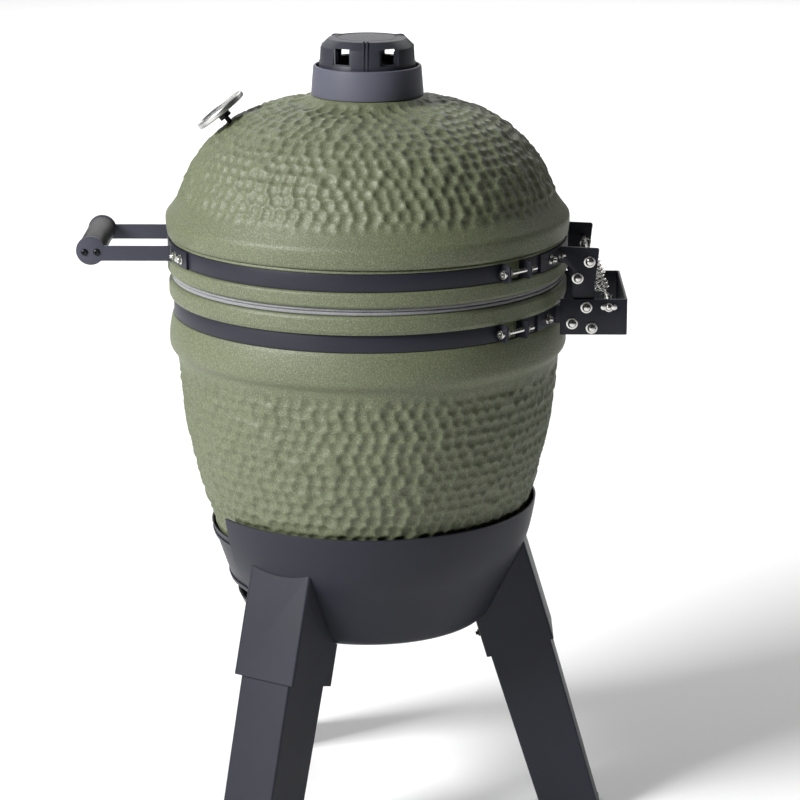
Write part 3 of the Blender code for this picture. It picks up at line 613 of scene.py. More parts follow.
@dataclass(frozen=True)
class CastCoat(PowderCoat):
    """Powder coat on a casting, with a coarser grain."""

    gloss: Pattern = (900.0, 2.0)
    relief: Relief = (((900.0, 2.0), 0.30, 0.0003),)


@dataclass(frozen=True)
class BrightMetal(Grained):
    """Plated or polished metal with faint haze and fine scratches."""

    tone: Pattern = (260.0, 4.0)
    tones: tuple[float, float] = (0.86, 1.0)
    gloss: Pattern = (260.0, 4.0)
    glosses: tuple[float, float] = (-0.05, 0.12)
    relief: Relief = (((900.0, 2.0), 0.10, 0.0001),)


@dataclass(frozen=True)
class Brushed(Grained):
    """Brushed steel with streaks along X."""

    tone: Pattern = (700.0, 3.0, 0.6, (0.04, 1.0, 1.0))
    tones: tuple[float, float] = (0.82, 1.0)
    gloss: Pattern = (700.0, 3.0, 0.6, (0.04, 1.0, 1.0))
    glosses: tuple[float, float] = (-0.08, 0.12)
    relief: Relief = (((700.0, 3.0, 0.6, (0.04, 1.0, 1.0)), 0.18, 0.00012),)


@dataclass(frozen=True)
class Felt(Grained):
    """Braided heat-proof felt, lighter where the fibres stand up."""

    tone: Pattern = (1100.0, 5.0, 0.7)
    tones: tuple[float, float] = (0.45, 1.7)
    relief: Relief = (((240.0, 3.0), 0.5, 0.0010), ((1100.0, 5.0, 0.7), 0.7, 0.0006))
    extras: Constants = (("Sheen_Weight", 0.35), ("Sheen_Roughness", 0.5))


@dataclass(frozen=True)
class Refractory(Grained):
    """Bare refractory with pits and blotches."""

    tone: Pattern = (26.0, 5.0)
    tones: tuple[float, float] = (0.72, 1.15)
    relief: Relief = (((26.0, 5.0), 0.3, 0.0015), ((340.0, 3.0), 0.5, 0.0008))


@dataclass(frozen=True)
class CastIron(Refractory):
    """Cast iron, with closer pits."""

    relief: Relief = (((26.0, 5.0), 0.3, 0.0015), ((520.0, 3.0), 0.5, 0.0008))


@dataclass(frozen=True)
class Moulded(Grained):
    """Moulded plastic or anodised metal with a faint grain."""

    tone: Pattern = (40.0,)
    tones: tuple[float, float] = (0.85, 1.0)
    gloss: Pattern = (900.0, 2.0)
    glosses: tuple[float, float] = (-0.06, 0.08)
    relief: Relief = (((900.0, 2.0), 0.25, 0.00015),)
    extras: Constants = (("Specular_IOR_Level", 0.3),)


@dataclass(frozen=True)
class ClearGlass(Finish):
    """Clear flat glass with a faint smear."""

    def build(self) -> bpy.types.Material:
        """Makes the material."""
        nodes = self.start()
        nodes.link(nodes.spread(nodes.noise(60.0), 0.01, 0.07), nodes.shader.inputs["Roughness"])
        nodes.constants(Transmission_Weight=1.0, IOR=1.45)
        return nodes.material


GLAZE = Glaze("olive_glaze", "glaze", (0.104, 0.117, 0.066), 0.54)
COAT = PowderCoat("blue_grey_coat", "coat", (0.0145, 0.0155, 0.0245), 0.46)
# The handle arms wear the same powder coat as COAT, painted several times lighter: painted light
# standing in for the key light that falls on the arms.
ARM_COAT_PAINTED_LIGHT = PowderCoat("handle_coat_painted_light", "coat", (0.052, 0.054, 0.074), 0.46)
VENT_COAT = CastCoat("vent_coat", "vent", (0.092, 0.094, 0.124), 0.46)
CAP_COAT = CastCoat("vent_cap_coat", "vent", (0.026, 0.027, 0.037), 0.44)
ZINC = BrightMetal("bright_zinc", "steel", (0.78, 0.77, 0.74), 0.20, 1.0)
STAINLESS = Brushed("brushed_stainless", "stainless", (0.62, 0.61, 0.59), 0.30, 1.0)
FELT = Felt("grey_felt", "felt", (0.21, 0.21, 0.22), 0.95)
FIREBRICK = Refractory("bare_refractory", "firebrick", (0.56, 0.46, 0.34), 0.92)
IRON = CastIron("seasoned_iron", "iron", (0.035, 0.034, 0.033), 0.62, 0.7)
SATIN = Brushed("satin_steel", "steel", (0.66, 0.66, 0.65), 0.34, 1.0)
GRIP = Moulded("black_tube", "grip", (0.010, 0.010, 0.012), 0.45)
PLASTIC = Moulded("black_plastic", "black", (0.02, 0.02, 0.021), 0.55)
BLACKENED = Moulded("blackened_steel", "blackened", (0.018, 0.018, 0.020), 0.36, 0.6)
DIAL = Moulded("printed_white", "dial", (0.80, 0.80, 0.78), 0.45)
GLASS = ClearGlass("clear_glass", "glass", (0.97, 0.99, 0.99), 0.03)


class Shop:
    """Turns meshes into named pieces that ride on the frame."""

    def __init__(self) -> None:
        """Starts with no materials made."""
        self.made: dict[str, bpy.types.Material] = {}

    def material(self, finish: Finish) -> bpy.types.Material:
        """The finish's material, made once."""
        if finish.name not in self.made:
            self.made[finish.name] = finish.build()
        return self.made[finish.name]

    def piece(self, name: str, shape: Shape, finish: Finish, body: Body | None,
              replaces: Sequence[str] = (), smooth: float = 35.0) -> bpy.types.Object:
        """Makes a finished piece from a mesh drawn in the grill's frame.

        Args:
            name: The piece's name.
            shape: Its mesh, which is used up.
            finish: Its surface finish.
            body: The body that it rides on, or None if it bends between two.
            replaces: CAD nodes that it stands for.
            smooth: Folds above this many degrees stay sharp.

        Returns:
            The object.
        """
        bmesh.ops.transform(shape, matrix=ORIGIN, verts=shape.verts)
        data = bpy.data.meshes.new(name)
        shape.to_mesh(data)
        shape.free()
        data.shade_smooth()
        data.set_sharp_from_angle(angle=math.radians(smooth))
        thing = linked(name, data)
        data.materials.append(self.material(finish))
        if body is not None:
            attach(thing, body.value)
        if replaces:
            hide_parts(*replaces)
        LOG.info("%s on %s, %d vertices", name, body, len(data.vertices))
        return thing


# ------------------------------------------------------------------ fasteners
@dataclass(frozen=True)
class Fasteners:
    """Makers of the bolts, nuts and screws used on the grill."""

    facets: int = 28

    def domed(self, at: Sequence[float], along: Sequence[float], radius: float) -> Shape:
        """A dome nut on a flat washer.

        Args:
            at: Where its washer rests.
            along: Direction that the dome points.
            radius: Radius of the washer.

        Returns:
            The mesh.
        """
        thick, head, seat = radius * 0.14, radius * 0.72, 0.0003
        rise = thick + seat
        washer = fillet(rect(radius * 0.3, radius, seat, rise), thick * 0.35, 2)
        dome = [(0.0, rise + head * 0.78)]
        dome += [(head * 0.92 * math.sin(t), rise + head * (0.28 + 0.50 * math.cos(t)))
                 for t in (0.3, 0.6, 0.9, 1.2, 1.45)]
        dome += [(head, rise + head * 0.22), (head, rise + 0.0001), (0.0, rise + 0.0001)]
        return moved(joined([spun(washer[::-1], self.facets), spun(dome, self.facets, False)]),
                     aimed(at, along))

    def socket_screw(self, at: Sequence[float], along: Sequence[float], radius: float) -> Shape:
        """A button-head screw with a round-bottomed six-sided socket."""
        top = radius * 0.55
        outline = [(0.0, top * 0.35), (radius * 0.42, top * 0.35), (radius * 0.42, top * 0.93),
                   (radius * 0.50, top), (radius * 0.78, top * 0.80), (radius * 0.95, top * 0.42),
                   (radius, 0.0004), (radius, 0.0002), (0.0, 0.0002)]
        return moved(spun(outline, self.facets, False), aimed(at, along))

    def hex_block(self, radius: float, height: float) -> Shape:
        """A six-sided nut blank with chamfered corners, resting on z = 0."""
        shape = plate(arc((0, 0), radius, 0.0, 300.0, 5), height)
        chamfer = spun([(0.0, height + 0.001), (radius * 0.80, height + 0.0004),
                        (radius * 1.04, height - radius * 0.13), (radius * 1.3, height - radius * 0.2),
                        (radius * 1.3, height + 0.001)], 24, True)
        return carved(moved(shape, lifted(height / 2)), chamfer)

    def threaded(self, radius: float, length: float) -> Shape:
        """A threaded shank standing on z = 0, its thread drawn as close grooves."""
        pitch = 0.0011
        outline: list[Point2] = [(0.0, length), (radius * 0.82, length)]
        count = int(length / pitch)
        for index in range(count):
            top = length - index * pitch
            outline += [(radius, top - pitch * 0.35), (radius * 0.86, top - pitch * 0.85)]
        outline += [(radius * 0.86, 0.0), (0.0, 0.0)]
        return spun(outline, 18, False)

    def cap_screw(self, at: Sequence[float], along: Sequence[float], radius: float,
                  height: float) -> Shape:
        """A cylindrical socket head whose six-sided socket is open at its end."""
        body = spun(fillet([(0.0, height), (radius, height), (radius, 0.0), (0.0, 0.0)],
                           radius * 0.10, 2, False), self.facets, False)
        socket = moved(plate(arc((0, 0), radius * 0.55, 0.0, 300.0, 5), height), lifted(height))
        return moved(carved(body, socket), aimed(at, along))

    def nut_on_stud(self, at: Sequence[float], along: Sequence[float], radius: float) -> Shape:
        """A washer and a nut on the end of a bolt that comes through a plate."""
        washer = spun([(radius * 0.5, 0.0010), (radius * 1.3, 0.0010), (radius * 1.3, 0.0002),
                       (radius * 0.5, 0.0002)], self.facets)
        nut = moved(self.hex_block(radius, radius * 0.8), lifted(0.0011))
        stud = self.threaded(radius * 0.5, radius * 0.8 + 0.0042)
        return moved(joined([washer, nut, stud]), aimed(at, along, 0.3))

    def studs_round(self, heading: float, turns: Sequence[float], reach: float, height: float,
                    radius: float) -> Shape:
        """Nuts on studs through a curved flange, alike on both sides of its middle.

        Args:
            heading: Angle of the flange's middle, in degrees from +X.
            turns: Angles of the studs from that middle.
            reach: Radius of the flange's outer face.
            height: Height of the row.
            radius: Radius of the nuts.

        Returns:
            The mesh.
        """
        headings = [outward(heading + side * turn) for turn in turns for side in (-1, 1)]
        return joined(self.nut_on_stud(out * reach + Vector((0, 0, height)), out, radius)
                      for out in headings)


FASTENERS = Fasteners()


# ------------------------------------------------------------------ ceramics
@dataclass
class Hammering:
    """The hammered surface: close rows of shallow round dimples with sharp ridges."""

    pitch: float = 0.0182
    depth: float = 0.0046
    reach: float = 0.0106
    scatter: float = 0.17
    dropped: float = 0.04
    seed: int = 11

    def centres(self, outline: Outline) -> list[Vector]:
        """Dimple centres in rows along a profile.

        Args:
            outline: The smooth (r, z) profile to cover.

        Returns:
            Points on the surface.
        """
        rng = np.random.default_rng(self.seed)
        rows = resample(outline, self.pitch * 0.87)
        points: list[Vector] = []
        for index, (radius, height) in enumerate(rows):
            count = max(8, round(math.tau * radius / self.pitch))
            lean = index % 2 * 0.5 + 0.15 * math.sin(index * 1.7)
            for step in range(count):
                if rng.random() < self.dropped:
                    continue
                shift, lift = rng.uniform(-self.scatter, self.scatter, 2) * self.pitch
                turn = math.tau * (step + lean) / count + shift / radius
                points.append(Vector((radius * math.cos(turn), radius * math.sin(turn),
                                      height + lift * 0.6)))
        return points

    def apply(self, shape: Shape, outline: Outline, strength: Callable[[float, float], float]) -> None:
        """Presses the dimples into a spun shell.

        Args:
            shape: The shell, whose normals are up to date.
            outline: The profile that the dimples cover.
            strength: Share of the full depth at a radius and height.
        """
        centres = self.centres(outline)
        tree = kdtree.KDTree(len(centres))
        for index, centre in enumerate(centres):
            tree.insert(centre, index)
        tree.balance()
        shape.normal_update()
        for vert in shape.verts:
            radius = math.hypot(vert.co.x, vert.co.y)
            share = strength(radius, vert.co.z)
            if share <= 0.0:
                continue
            near = tree.find_n(vert.co, 2)
            first, second = near[0][2], near[1][2]
            hollow = min(first / self.reach, 1.0) ** 2.3
            ridge = max(0.0, 1.0 - (second - first) / 0.0016)
            drop = self.depth * (1.0 - hollow) + self.depth * 0.16 * ridge * ridge
            swell = noise.noise(vert.co * 28.0) * 0.0004
            vert.co -= vert.normal * (drop * share + swell * share)


@dataclass
class Ceramic:
    """Sizes shared by the lid and the base."""

    facets: int = 600
    fine: float = 0.0024
    wall: float = 0.022
    dome_radius: float = 0.2542
    dome_foot: float = 0.098
    dome_rise: float = 0.1294
    inner_radius: float = 0.2322
    inner_foot: float = 0.085
    inner_rise: float = 0.119
    power: float = 1.336
    roundness: float = 3.603
    seam: float = 60.0
    draft: tuple[float, ...] = (0.120, 0.235, -0.424, -0.372)
    draft_turns: Point2 = (242.0, 268.0)
    hammering: Hammering = field(default_factory=Hammering)

    def curve(self, radius: float, share: float) -> float:
        """Radius of a dome of a given foot radius, at a share of its rise."""
        return radius * (1.0 - share ** self.power) ** (1.0 / self.roundness)

    def dome(self, share: float) -> Point2:
        """Dome point at a share of its rise."""
        return self.curve(self.dome_radius, share), self.dome_foot + self.dome_rise * share

    @staticmethod
    def body(height: float) -> Point2:
        """Point on the base's outside below its moulding."""
        depth = -(height + 0.085)
        return 0.2580 + 0.0142 * depth - 0.7238 * depth * depth, height

    def lid(self) -> Shape:
        """The lid: hammered dome, smooth moulding, band seat and rolled rim."""
        crown = [(0.052, 0.2326), (0.0735, 0.2326), (0.0768, 0.2296), (0.0850, 0.2264)]
        dome = [self.dome(share) for share in np.linspace(0.975, 0.03, 60)]
        shoulder = [(0.2560, 0.0945), (0.2605, 0.0880), (0.2655, 0.0815), (0.2700, 0.0762),
                    (0.2710, 0.0715), (0.2709, 0.0640), (0.2698, 0.0545)]
        lip = [(0.2690, 0.0508), (0.2672, 0.0496), (0.2645, 0.0491), (0.2645, 0.0483),
               (0.2662, 0.0473), (0.2662, 0.0456), (0.2655, 0.0447)]
        seat = [(UPPER_SEAT, 0.0446), (UPPER_SEAT, 0.0206)]
        rim = fillet([(0.2672, 0.0205), (0.2692, 0.0180), (0.2692, 0.0030), (0.2660, 0.0)], 0.004, 4,
                     False)
        outer = resample(crown, 0.003) + resample(dome, self.fine) + resample(shoulder, 0.0035)
        outer += lip + seat + rim
        inner = [(0.240, 0.0), (0.240, 0.070)]
        inner += [(self.curve(self.inner_radius, t), self.inner_foot + self.inner_rise * t)
                  for t in (0.08, 0.25, 0.45, 0.62, 0.76, 0.87, 0.94, 0.98)]
        inner.append((0.052, 0.2035))
        shape = spun(outer + inner, self.facets)
        cover = [self.dome(share) for share in np.linspace(0.985, 0.015, 50)]
        self.hammering.apply(shape, cover, self.lid_strength)
        return shape

    def lid_strength(self, radius: float, height: float) -> float:
        """Dimple depth share on the lid's outside, fading at its foot and crown."""
        foot, crown, inside_top = 0.092, 0.2300, 0.2120
        if height < foot or height > crown:
            return 0.0
        level = min(max((height - self.inner_foot) / self.inner_rise, 0.0), 1.0)
        if radius < self.curve(self.inner_radius, level) + 0.007 and height < inside_top:
            return 0.0
        return min(1.0, (height - foot) / 0.014) * min(1.0, max(0.0, (radius - 0.074) / 0.010))

    def base(self) -> Shape:
        """The base: rim, band seat, moulding and hammered body with its draft hole."""
        top = fillet([(0.2610, -0.0102), (0.2655, -0.0108), (0.2676, -0.0150), (0.2676, -0.0300),
                      (0.2652, -0.0349)], 0.0035, 4, False)
        seat = [(LOWER_SEAT, -0.0350), (LOWER_SEAT, -0.0590)]
        moulding = [(0.2625, -0.0592), (0.2642, -0.0630), (0.2655, -0.0690), (0.2670, -0.0770),
                    (0.2680, -0.0850), (0.2680, -0.0965), (0.2674, -0.1010), (0.2655, -0.1050),
                    (0.2620, -0.1088), (0.2594, -0.1120), (0.2581, -0.1160), (0.2575, -0.1250)]
        wall = [self.body(z) for z in np.linspace(-0.130, -0.352, 50)]
        hidden = [self.body(z) for z in (-0.372, -0.39, -0.41, -0.43, -0.45)]
        outer = top + seat + resample(moulding, 0.0035) + resample(wall, self.fine) + hidden
        outer += [(0.1510, -0.4770), (0.1480, -0.4780), (0.0, -0.4780), (0.0, -0.4560)]
        inner = [(0.1400, -0.4560)]
        inner += [(self.body(z)[0] - self.wall, z)
                  for z in (-0.44, -0.41, -0.38, -0.35, -0.30, -0.25, -0.20, -0.15)]
        inner += [(0.2400, -0.0900), (0.2400, -0.0102)]
        shape = spun(outer + inner, self.facets)
        cover = [self.body(z) for z in np.linspace(-0.128, -0.352, 30)]
        self.hammering.apply(shape, cover, self.base_strength)
        return carved(shape, swept(rect(*self.draft), *self.draft_turns, 20))

    @staticmethod
    def base_strength(radius: float, height: float) -> float:
        """Dimple depth share on the base's outside."""
        top, bottom = -0.118, -0.352
        if height > top or height < bottom or radius < Ceramic.body(height)[0] - 0.010:
            return 0.0
        return min(1.0, (top - height) / 0.016) * min(1.0, (height - bottom) / 0.008)

    def build(self, shop: Shop) -> None:
        """Makes both shells and their gaskets."""
        for name, shape, finish, body, node in (
                ("ceramic_lid", self.lid(), GLAZE, Body.LID, "lid_shell"),
                ("ceramic_base", self.base(), GLAZE, Body.STAND, "base_shell"),
                ("lid_felt", self.felt(-0.0025), FELT, Body.LID, "lid_gasket"),
                ("base_felt", self.felt(-0.0076), FELT, Body.STAND, "base_gasket")):
            shop.piece(name, shape, finish, body, [node], self.seam)

    @staticmethod
    def felt(middle: float) -> Shape:
        """A braided felt strip: a soft-edged ring with the braid's low waves."""
        half = 0.0021
        outline = fillet([(0.2636, middle + half), (0.2636, middle - half), (0.2450, middle - half),
                          (0.2450, middle + half)], 0.0019, 4)
        shape = spun(outline, 480)
        for vert in shape.verts:
            turn = math.atan2(vert.co.y, vert.co.x)
            radius = math.hypot(vert.co.x, vert.co.y)
            if radius > 0.258:
                wave = 0.00045 * math.sin(turn * 190.0 + vert.co.z * 2600.0)
                ripple = noise.noise(vert.co * 60.0) * 0.0006
                grow = 1.0 + (wave + ripple) / radius
                vert.co.x *= grow
                vert.co.y *= grow
        return shape


# ------------------------------------------------------------------ bands
@dataclass
class Bands:
    """Two split steel bands, each drawn tight by a bolt on both sides."""

    thick: float = 0.0025
    height: float = 0.0230
    split: float = 48.0
    rear: float = 41.0
    lug_reach: float = 0.0185
    lug_height: float = 0.0226
    lug_thick: float = 0.0034
    bolt_reach: float = 0.0118
    head_radius: float = 0.0060
    shank_radius: float = 0.0028

    def strap(self, seat: float, middle: float, start: float, end: float) -> Shape:
        """A strap round the ceramic with its long edges eased."""
        inner, half = seat + 0.0003, self.height / 2
        section = fillet(rect(inner, inner + self.thick, middle - half, middle + half), 0.0007, 2)
        return swept(section, start, end, round(abs(end - start) / 1.5))

    def lug(self, seat: float, middle: float, angle: float) -> Shape:
        """A strap's end bent outwards, with rounded outer corners."""
        half = self.lug_height / 2
        inner = seat + 0.0010
        outline = fillet(rect(inner, inner + self.lug_reach, -half, half), 0.0045, 4)
        shape = plate(outline, self.lug_thick, 0.0006)
        turn = Matrix.Rotation(math.radians(90.0 - angle), 4, "Z")
        return moved(shape, lifted(middle) @ turn @ ON_EDGE)

    def bolt(self, seat: float, middle: float, side: int) -> Shape:
        """A socket-headed bolt through both lugs with nuts and washers."""
        front, rear = (outward(90.0 - side * angle) * (seat + self.bolt_reach)
                       + Vector((0, 0, middle))
                       for angle in (self.split + 0.5, self.rear - 0.5))
        back = (rear - front).normalized()
        grip = self.lug_thick / 2 + 0.0008
        shank = moved(FASTENERS.threaded(self.shank_radius, (rear - front).length + grip + 0.0155),
                      aimed(front, back))
        head = FASTENERS.cap_screw(front - back * (grip - 0.0002), -back, self.head_radius, 0.0056)
        nuts = [moved(FASTENERS.hex_block(0.0056, 0.0044), aimed(at, along, 0.4))
                for at, along in ((rear + back * grip, back), (front + back * grip, back))]
        washer = moved(spun(rect(0.0030, 0.0072, 0.0, 0.0009)[::-1], 24),
                       aimed(rear + back * (grip - 0.0007), back))
        return joined([shank, head, washer, *nuts])

    def build(self, shop: Shop, label: str, seat: float, middle: float, body: Body) -> None:
        """Makes one band.

        Args:
            shop: Where the pieces go.
            label: upper or lower.
            seat: Radius of the ceramic under the band.
            middle: Height of the band's middle.
            body: The body that it rides on.
        """
        front = [self.strap(seat, middle, 90.0 + self.split, 450.0 - self.split)]
        rear = [self.strap(seat, middle, 90.0 - self.rear, 90.0 + self.rear)]
        for side in (-1, 1):
            front.append(self.lug(seat, middle, side * (self.split + 0.5)))
            rear.append(self.lug(seat, middle, side * (self.rear - 0.5)))
        shop.piece(f"{label}_strap_front", joined(front), COAT, body, [f"{label}_band_front"])
        shop.piece(f"{label}_strap_rear", joined(rear), COAT, body, [f"{label}_band_rear"])
        for side in Side:
            shop.piece(f"{label}_tension_bolt_{side.word}", self.bolt(seat, middle, side.value),
                       ZINC, body, [f"{label}_band_bolt_{side.word}"])


# ------------------------------------------------------------------ hinge
@dataclass
class Hinge:
    """Sheet-steel box on the base, two plates on the lid, rods, bolts and springs."""

    pivot: Point2 = (0.2907, -0.0372)
    hook: Point2 = (0.2943, 0.0235)
    anchor: Point2 = (0.3204, -0.0372)
    box_half: float = 0.0905
    plate_half: float = 0.0865
    sheet: float = 0.003
    spread: float = 32.0
    upper_web: float = 0.2659
    lower_web: float = 0.2620
    bolt_radius: float = 0.0078
    rod_radius: float = 0.003
    spring_offset: float = 0.045
    near: float = 0.2560
    far: float = 0.3450
    wall_height: float = 0.0483
    wall_middle: float = -0.05035
    ear: tuple[Point2, Point2] = ((0.2490, -0.0585), (0.2590, -0.0355))
    stud_turns: Point2 = (18.3, 25.8)
    stud_radius: float = 0.0054

    def web(self, inner: float, low: float, high: float) -> Shape:
        """The curved flange that lies on a band."""
        section = fillet(rect(inner, inner + self.sheet, low, high), 0.0006, 2)
        return swept(section, 90.0 - self.spread, 90.0 + self.spread, 40)

    def box(self) -> Shape:
        """The open box: three walls bent from one sheet, and its flange."""
        x, near, far, s = self.box_half, self.near, self.far, self.sheet
        outer = fillet([(-x, near), (-x, far), (x, far), (x, near)], 0.0040, 4, False)
        inner = fillet([(x - s, near), (x - s, far - s), (-x + s, far - s), (-x + s, near)], 0.0012,
                       2, False)
        walls = moved(plate(outer + inner, self.wall_height, 0.0008), lifted(self.wall_middle))
        start, end = self.ear
        parts = [walls, self.web(self.lower_web, start[1], end[1])]
        for side in (-1, 1):
            low, high = sorted((side * (x - s), side * x))
            parts.append(block((low, *start), (high, *end), 0.0005))
        return joined(parts)

    def brackets(self) -> Shape:
        """The lid's two upright plates and the flange between them."""
        outline = fillet([(0.2535, 0.0441), (0.3072, 0.0417), (0.3008, -0.0147), (0.3020, -0.0450),
                          (0.2800, -0.0450), (0.2715, -0.0200), (0.2720, 0.0120),
                          (0.2620, 0.0212), (0.2535, 0.0222)], 0.0035, 4)
        parts = [self.web(self.upper_web, 0.0211, 0.0441)]
        for side in (-1, 1):
            parts.append(upright(plate(outline, self.sheet, 0.0007), side * self.plate_half,
                                 self.sheet))
        return joined(parts)

    def rod(self, at: Point2, reach: float, head: float) -> Shape:
        """A round rod with a dome nut and washer at each end."""
        shaft = moved(spun(fillet([(0.0, reach), (self.rod_radius, reach), (self.rod_radius, -reach),
                                   (0.0, -reach)], 0.0004, 2, False), 20, False),
                      Matrix.Translation((0, *at)) @ Matrix.Rotation(math.pi / 2, 4, "Y"))
        ends = [FASTENERS.domed((side * reach, *at), (side, 0, 0), head) for side in (-1, 1)]
        return joined([shaft, *ends])

    def wing_nuts(self) -> Shape:
        """Wings on the outer faces of the anchor rod's nuts."""
        parts = []
        for side in (-1, 1):
            for way in (-1, 1):
                wing = plate(arc((0.0070 * way, 0.0011), 0.0040, 0.0, 348.0, 20), 0.0016, 0.0005)
                parts.append(upright(moved(wing, Matrix.Translation((*self.anchor, 0))),
                                     side * (self.box_half + 0.0042), 0.0016))
        return joined(parts)

    def spring(self, middle: float) -> Shape:
        """An extension spring hooked over the hook rod and the anchor rod."""
        upper, lower = Vector((middle, *self.hook)), Vector((middle, *self.anchor))
        down = (lower - upper).normalized()
        across = Vector((1.0, 0.0, 0.0))
        out = down.cross(across)
        wire, loop, coil, turns = 0.0010, 0.0075, 0.0092, 7
        hold = loop - self.rod_radius - wire - 0.0004
        turns_at = [math.radians(20.0 + step * 10.2) for step in range(25)]
        points = [upper + down * (hold + loop * math.cos(t)) + out * loop * math.sin(t)
                  for t in turns_at]
        start = upper + down * (hold + loop + 0.003)
        end = lower - down * (hold + loop + 0.003)
        steps = turns * 16
        for step in range(steps + 1):
            turn = math.tau * step / 16
            ease = min(1.0, step / 6, (steps - step) / 6)
            centre = start.lerp(end, step / steps)
            points.append(centre + (out * math.cos(turn) + across * math.sin(turn)) * coil * ease)
        turns_at = [math.radians(265.0 - step * 10.2) for step in range(25)]
        points += [lower - down * (hold + loop * math.cos(t)) + out * loop * math.sin(t)
                   for t in turns_at]
        return tube_mesh(points, wire, 3)

    def build(self, shop: Shop) -> None:
        """Makes the hinge."""
        anchor = joined([self.rod(self.anchor, self.box_half, 0.0060), self.wing_nuts()])
        for name, shape, finish, body, nodes in (
                ("hinge_box_sheet", self.box(), COAT, Body.STAND, ["hinge_box"]),
                ("hinge_bracket_sheet", self.brackets(), COAT, Body.LID, ["hinge_upper_bracket"]),
                ("hinge_pivot", self.rod(self.pivot, self.box_half, self.bolt_radius), ZINC,
                 Body.STAND, ["hinge_pivot_rod"]),
                ("spring_anchor", anchor, ZINC, Body.STAND, ["spring_anchor_rod"]),
                ("spring_hook", self.rod(self.hook, self.plate_half, self.bolt_radius), ZINC,
                 Body.LID, ["spring_hook_rod"])):
            shop.piece(name, shape, finish, body, nodes)
        for name, web, height, body in (
                ("lower_flange_bolts", self.lower_web, LOWER_MIDDLE, Body.STAND),
                ("upper_flange_bolts", self.upper_web, UPPER_MIDDLE, Body.LID)):
            studs = FASTENERS.studs_round(90.0, self.stud_turns, web + self.sheet, height,
                                          self.stud_radius)
            shop.piece(name, studs, ZINC, body)
        for side in Side:
            for name, node, half, at, body in (
                    ("box_bolt_front", "hinge_box_bolt_front", self.box_half, (0.2720, -0.0590),
                     Body.STAND),
                    ("box_bolt_rear", "hinge_box_bolt_rear", self.box_half, (0.2980, -0.0651),
                     Body.STAND),
                    ("plate_bolt", "hinge_plate_bolt", self.plate_half, (0.2788, 0.0014), Body.LID)):
                bolt = FASTENERS.domed((side.value * half, *at), (side.value, 0.0, 0.0),
                                       self.bolt_radius)
                shop.piece(f"{name}_{side.word}", bolt, ZINC, body, [f"{node}_{side.word}"])
            offset = side.value * self.spring_offset
            coil = shop.piece(f"spring_{side.word}", self.spring(offset), ZINC, None,
                              [f"lift_spring_{side.word}"])
            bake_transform(coil)


# ------------------------------------------------------------------ handle
@dataclass
class Handle:
    """A grip between two flat arms on a curved bracket."""

    grip_y: float = -0.3655
    grip_z: float = 0.0341
    grip_radius: float = 0.0178
    disc_radius: float = 0.0193
    arm_half: float = 0.0745
    arm_thick: float = 0.004
    arm_top: float = 0.0405
    arm_bottom: float = 0.0205
    bracket: float = 0.2659
    sheet: float = 0.003
    spread: float = 29.6

    def arm_outline(self) -> list[Point2]:
        """The arm's side view in (y, z): a bar that ends in a disc."""
        reach = self.bracket + self.sheet + 0.0003
        foot = -math.sqrt(reach ** 2 - (self.arm_half - self.arm_thick) ** 2) - 0.0006
        first = math.degrees(math.asin((self.arm_top - self.grip_z) / self.disc_radius))
        last = 360.0 + math.degrees(math.asin((self.arm_bottom - self.grip_z) / self.disc_radius))
        disc = arc((self.grip_y, self.grip_z), self.disc_radius, first, last, 64)
        return [(foot, self.arm_bottom), (foot, self.arm_top)] + disc

    def grip(self) -> Shape:
        """The tube with a narrow groove near each end."""
        reach = self.arm_half - self.arm_thick - 0.0003
        r = self.grip_radius
        half = [(0.0, reach), (r - 0.0024, reach), (r - 0.0020, reach - 0.0014),
                (r - 0.0020, reach - 0.0024), (r - 0.0005, reach - 0.0026), (r, reach - 0.0034)]
        outline = half + [(radius, -height) for radius, height in reversed(half)]
        turn = Matrix.Rotation(math.pi / 2, 4, "Y")
        return moved(spun(outline, 72, False),
                     Matrix.Translation((0, self.grip_y, self.grip_z)) @ turn)

    def screws(self, side: int) -> Shape:
        """Two dark button-head screws in an arm's disc."""
        heads = [FASTENERS.socket_screw((side * self.arm_half, self.grip_y + shift,
                                         self.grip_z - 0.0018), (side, 0, 0), 0.0047)
                 for shift in (-0.0082, 0.0082)]
        return joined(heads)

    def build(self, shop: Shop) -> None:
        """Makes the handle."""
        section = fillet(rect(self.bracket, self.bracket + self.sheet, 0.0216, 0.0434), 0.0006, 2)
        shop.piece("handle_curved_bracket",
                   swept(section, 270.0 - self.spread, 270.0 + self.spread, 40), COAT, Body.LID,
                   ["handle_bracket"])
        for side in Side:
            arm = upright(plate(self.arm_outline(), self.arm_thick, 0.0006),
                          side.value * self.arm_half, self.arm_thick)
            # The arms take the lighter copy of the coat, painted light for the key light on them.
            shop.piece(f"handle_bar_{side.word}", arm, ARM_COAT_PAINTED_LIGHT, Body.LID, [f"handle_arm_{side.word}"])
            shop.piece(f"handle_screws_{side.word}", self.screws(side.value), BLACKENED, Body.LID)
        shop.piece("handle_tube", self.grip(), GRIP, Body.LID, ["handle_grip"])
        studs = FASTENERS.studs_round(270.0, (21.0, 25.8), self.bracket + self.sheet, 0.0320, 0.0052)
        shop.piece("handle_bracket_bolts", studs, ZINC, Body.LID)


